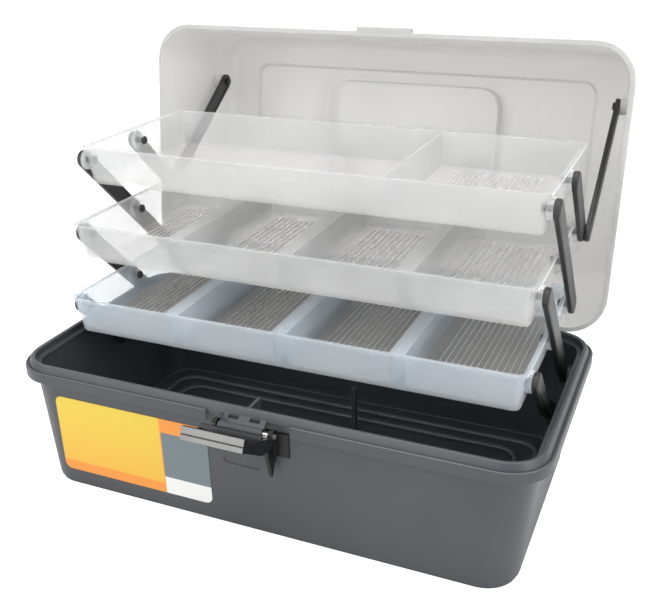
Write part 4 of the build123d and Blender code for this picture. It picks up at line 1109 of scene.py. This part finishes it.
lever = copy_of("latch_lever")
lever.data.materials.append(latch_gloss)
lever.data.materials.append(lever_face)
tilt = math.radians(LEVER_TILT)
lever_out = Vector((0, -math.cos(tilt), math.sin(tilt)))
lever_pin = Vector((0, LATCH_PIN_Y, LATCH_PIN_Z)) * MM
for face in lever.data.polygons:
    reach = (face.center - lever_pin).dot(lever_out)
    if reach > LEVER_GRIP * MM and face.normal.dot(lever_out) > 0.2:
        face.material_index = 1
round_edges(lever, 0.35)
stands_for(lever, "latch", "latch_black", "latch_lever")

bracket = copy_of("latch_bracket")
# The bracket takes the near-black: partly its own black, partly painted shade of the dark zone round the
# latch.
bracket.data.materials.append(latch_gloss)
round_edges(bracket, 0.4)
stands_for(bracket, "base", "latch_black", "latch_bracket")

handle = copy_of("carry_handle")
handle.data.materials.append(tub_grey)
round_edges(handle, 1.0, steps=3)
stands_for(handle, "handle", "handle_plastic", "carry_handle")

carried_over = {
    "latch_pin": wire,
    "hinge_pins": wire,
    "handle_pins": arm_black,
    "front_label": sticker,
}
for node, material in carried_over.items():
    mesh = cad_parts[node].data
    mesh.materials.clear()
    mesh.materials.append(material)

# Studio: white floor, soft lamps and the photograph's camera


def in_sight(tree):
    """1 for the camera's own rays and for rays that went through something clear, else 0."""
    sight = tree.nodes.new("ShaderNodeLightPath").outputs
    return math_node(tree, "MAXIMUM", sight["Is Camera Ray"], sight["Is Transmission Ray"])


def white_ground():
    """A pale floor that reads as paper white to the camera and still takes the object's shadow."""
    material, shader = new_shader("paper_floor", (0.86, 0.86, 0.86), 0.9, 0.0)
    tree = material.node_tree
    nodes, links = tree.nodes, tree.links
    glow = nodes.new("ShaderNodeEmission")
    glow.inputs["Color"].default_value = (1.0, 1.0, 1.0, 1.0)
    links.new(math_node(tree, "MULTIPLY", in_sight(tree), FLOOR_GLOW), glow.inputs["Strength"])
    total = nodes.new("ShaderNodeAddShader")
    links.new(shader.outputs["BSDF"], total.inputs[0])
    links.new(glow.outputs["Emission"], total.inputs[1])
    links.new(total.outputs["Shader"], nodes["Material Output"].inputs["Surface"])
    return material


floor_mesh = bpy.data.meshes.new("floor")
floor_mesh.from_pydata([(-6, -6, 0), (6, -6, 0), (6, 6, 0), (-6, 6, 0)], [], [(0, 1, 2, 3)])
floor = link_piece("floor", floor_mesh)
floor.data.materials.append(white_ground())
floor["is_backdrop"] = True

world = bpy.data.worlds.new("studio")
bpy.context.scene.world = world
world.use_nodes = True
sky = world.node_tree.nodes["Background"]
sky.inputs["Color"].default_value = (1.0, 1.0, 1.0, 1.0)
strength = world.node_tree.nodes.new("ShaderNodeMapRange")
strength.inputs["To Min"].default_value = ROOM_LIGHT
world.node_tree.links.new(in_sight(world.node_tree), strength.inputs["Value"])
world.node_tree.links.new(strength.outputs["Result"], sky.inputs["Strength"])


def softbox(name, place, size, power):
    """A soft lamp that looks at the object."""
    target = Vector((0, 0, 0.1))
    data = bpy.data.lights.new(name, "AREA")
    data.shape = "RECTANGLE"
    data.size, data.size_y = size
    data.energy = power
    lamp = link_piece(name, data)
    lamp.location = place
    lamp.rotation_euler = (target - Vector(place)).to_track_quat("-Z", "Y").to_euler()


softbox("top_softbox", (0.1, -0.1, 1.7), (1.6, 1.2), 14.0)
softbox("front_softbox", (-0.7, -1.5, 0.9), (1.2, 0.9), 9.5)
softbox("right_softbox", (1.6, -0.5, 0.8), (0.9, 0.9), 10.0)

camera_data = bpy.data.cameras.new("camera")
camera_data.sensor_fit = "HORIZONTAL"
camera_data.sensor_width = SENSOR
camera_data.lens = LENS
camera_data.clip_start = 0.01
camera = link_piece("camera", camera_data)
yaw, pitch, roll = (math.radians(angle) for angle in CAMERA_TURNS)
ahead = Vector((-math.sin(yaw) * math.cos(pitch), math.cos(yaw) * math.cos(pitch), -math.sin(pitch)))
level = Vector((math.cos(yaw), math.sin(yaw), 0))
upright = level.cross(ahead)
right = level * math.cos(roll) + upright * math.sin(roll)
up = upright * math.cos(roll) - level * math.sin(roll)
camera_axes = Matrix((right, up, -ahead)).transposed().to_4x4()
camera.matrix_world = Matrix.Translation(CAMERA_PLACE) @ camera_axes
bpy.context.scene.camera = camera
bpy.context.scene.view_settings.view_transform = "Standard"

bpy.context.view_layer.update()
look_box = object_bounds()
sizes = {"cad": [list(corner) for corner in cad_box], "visual": [list(corner) for corner in look_box]}
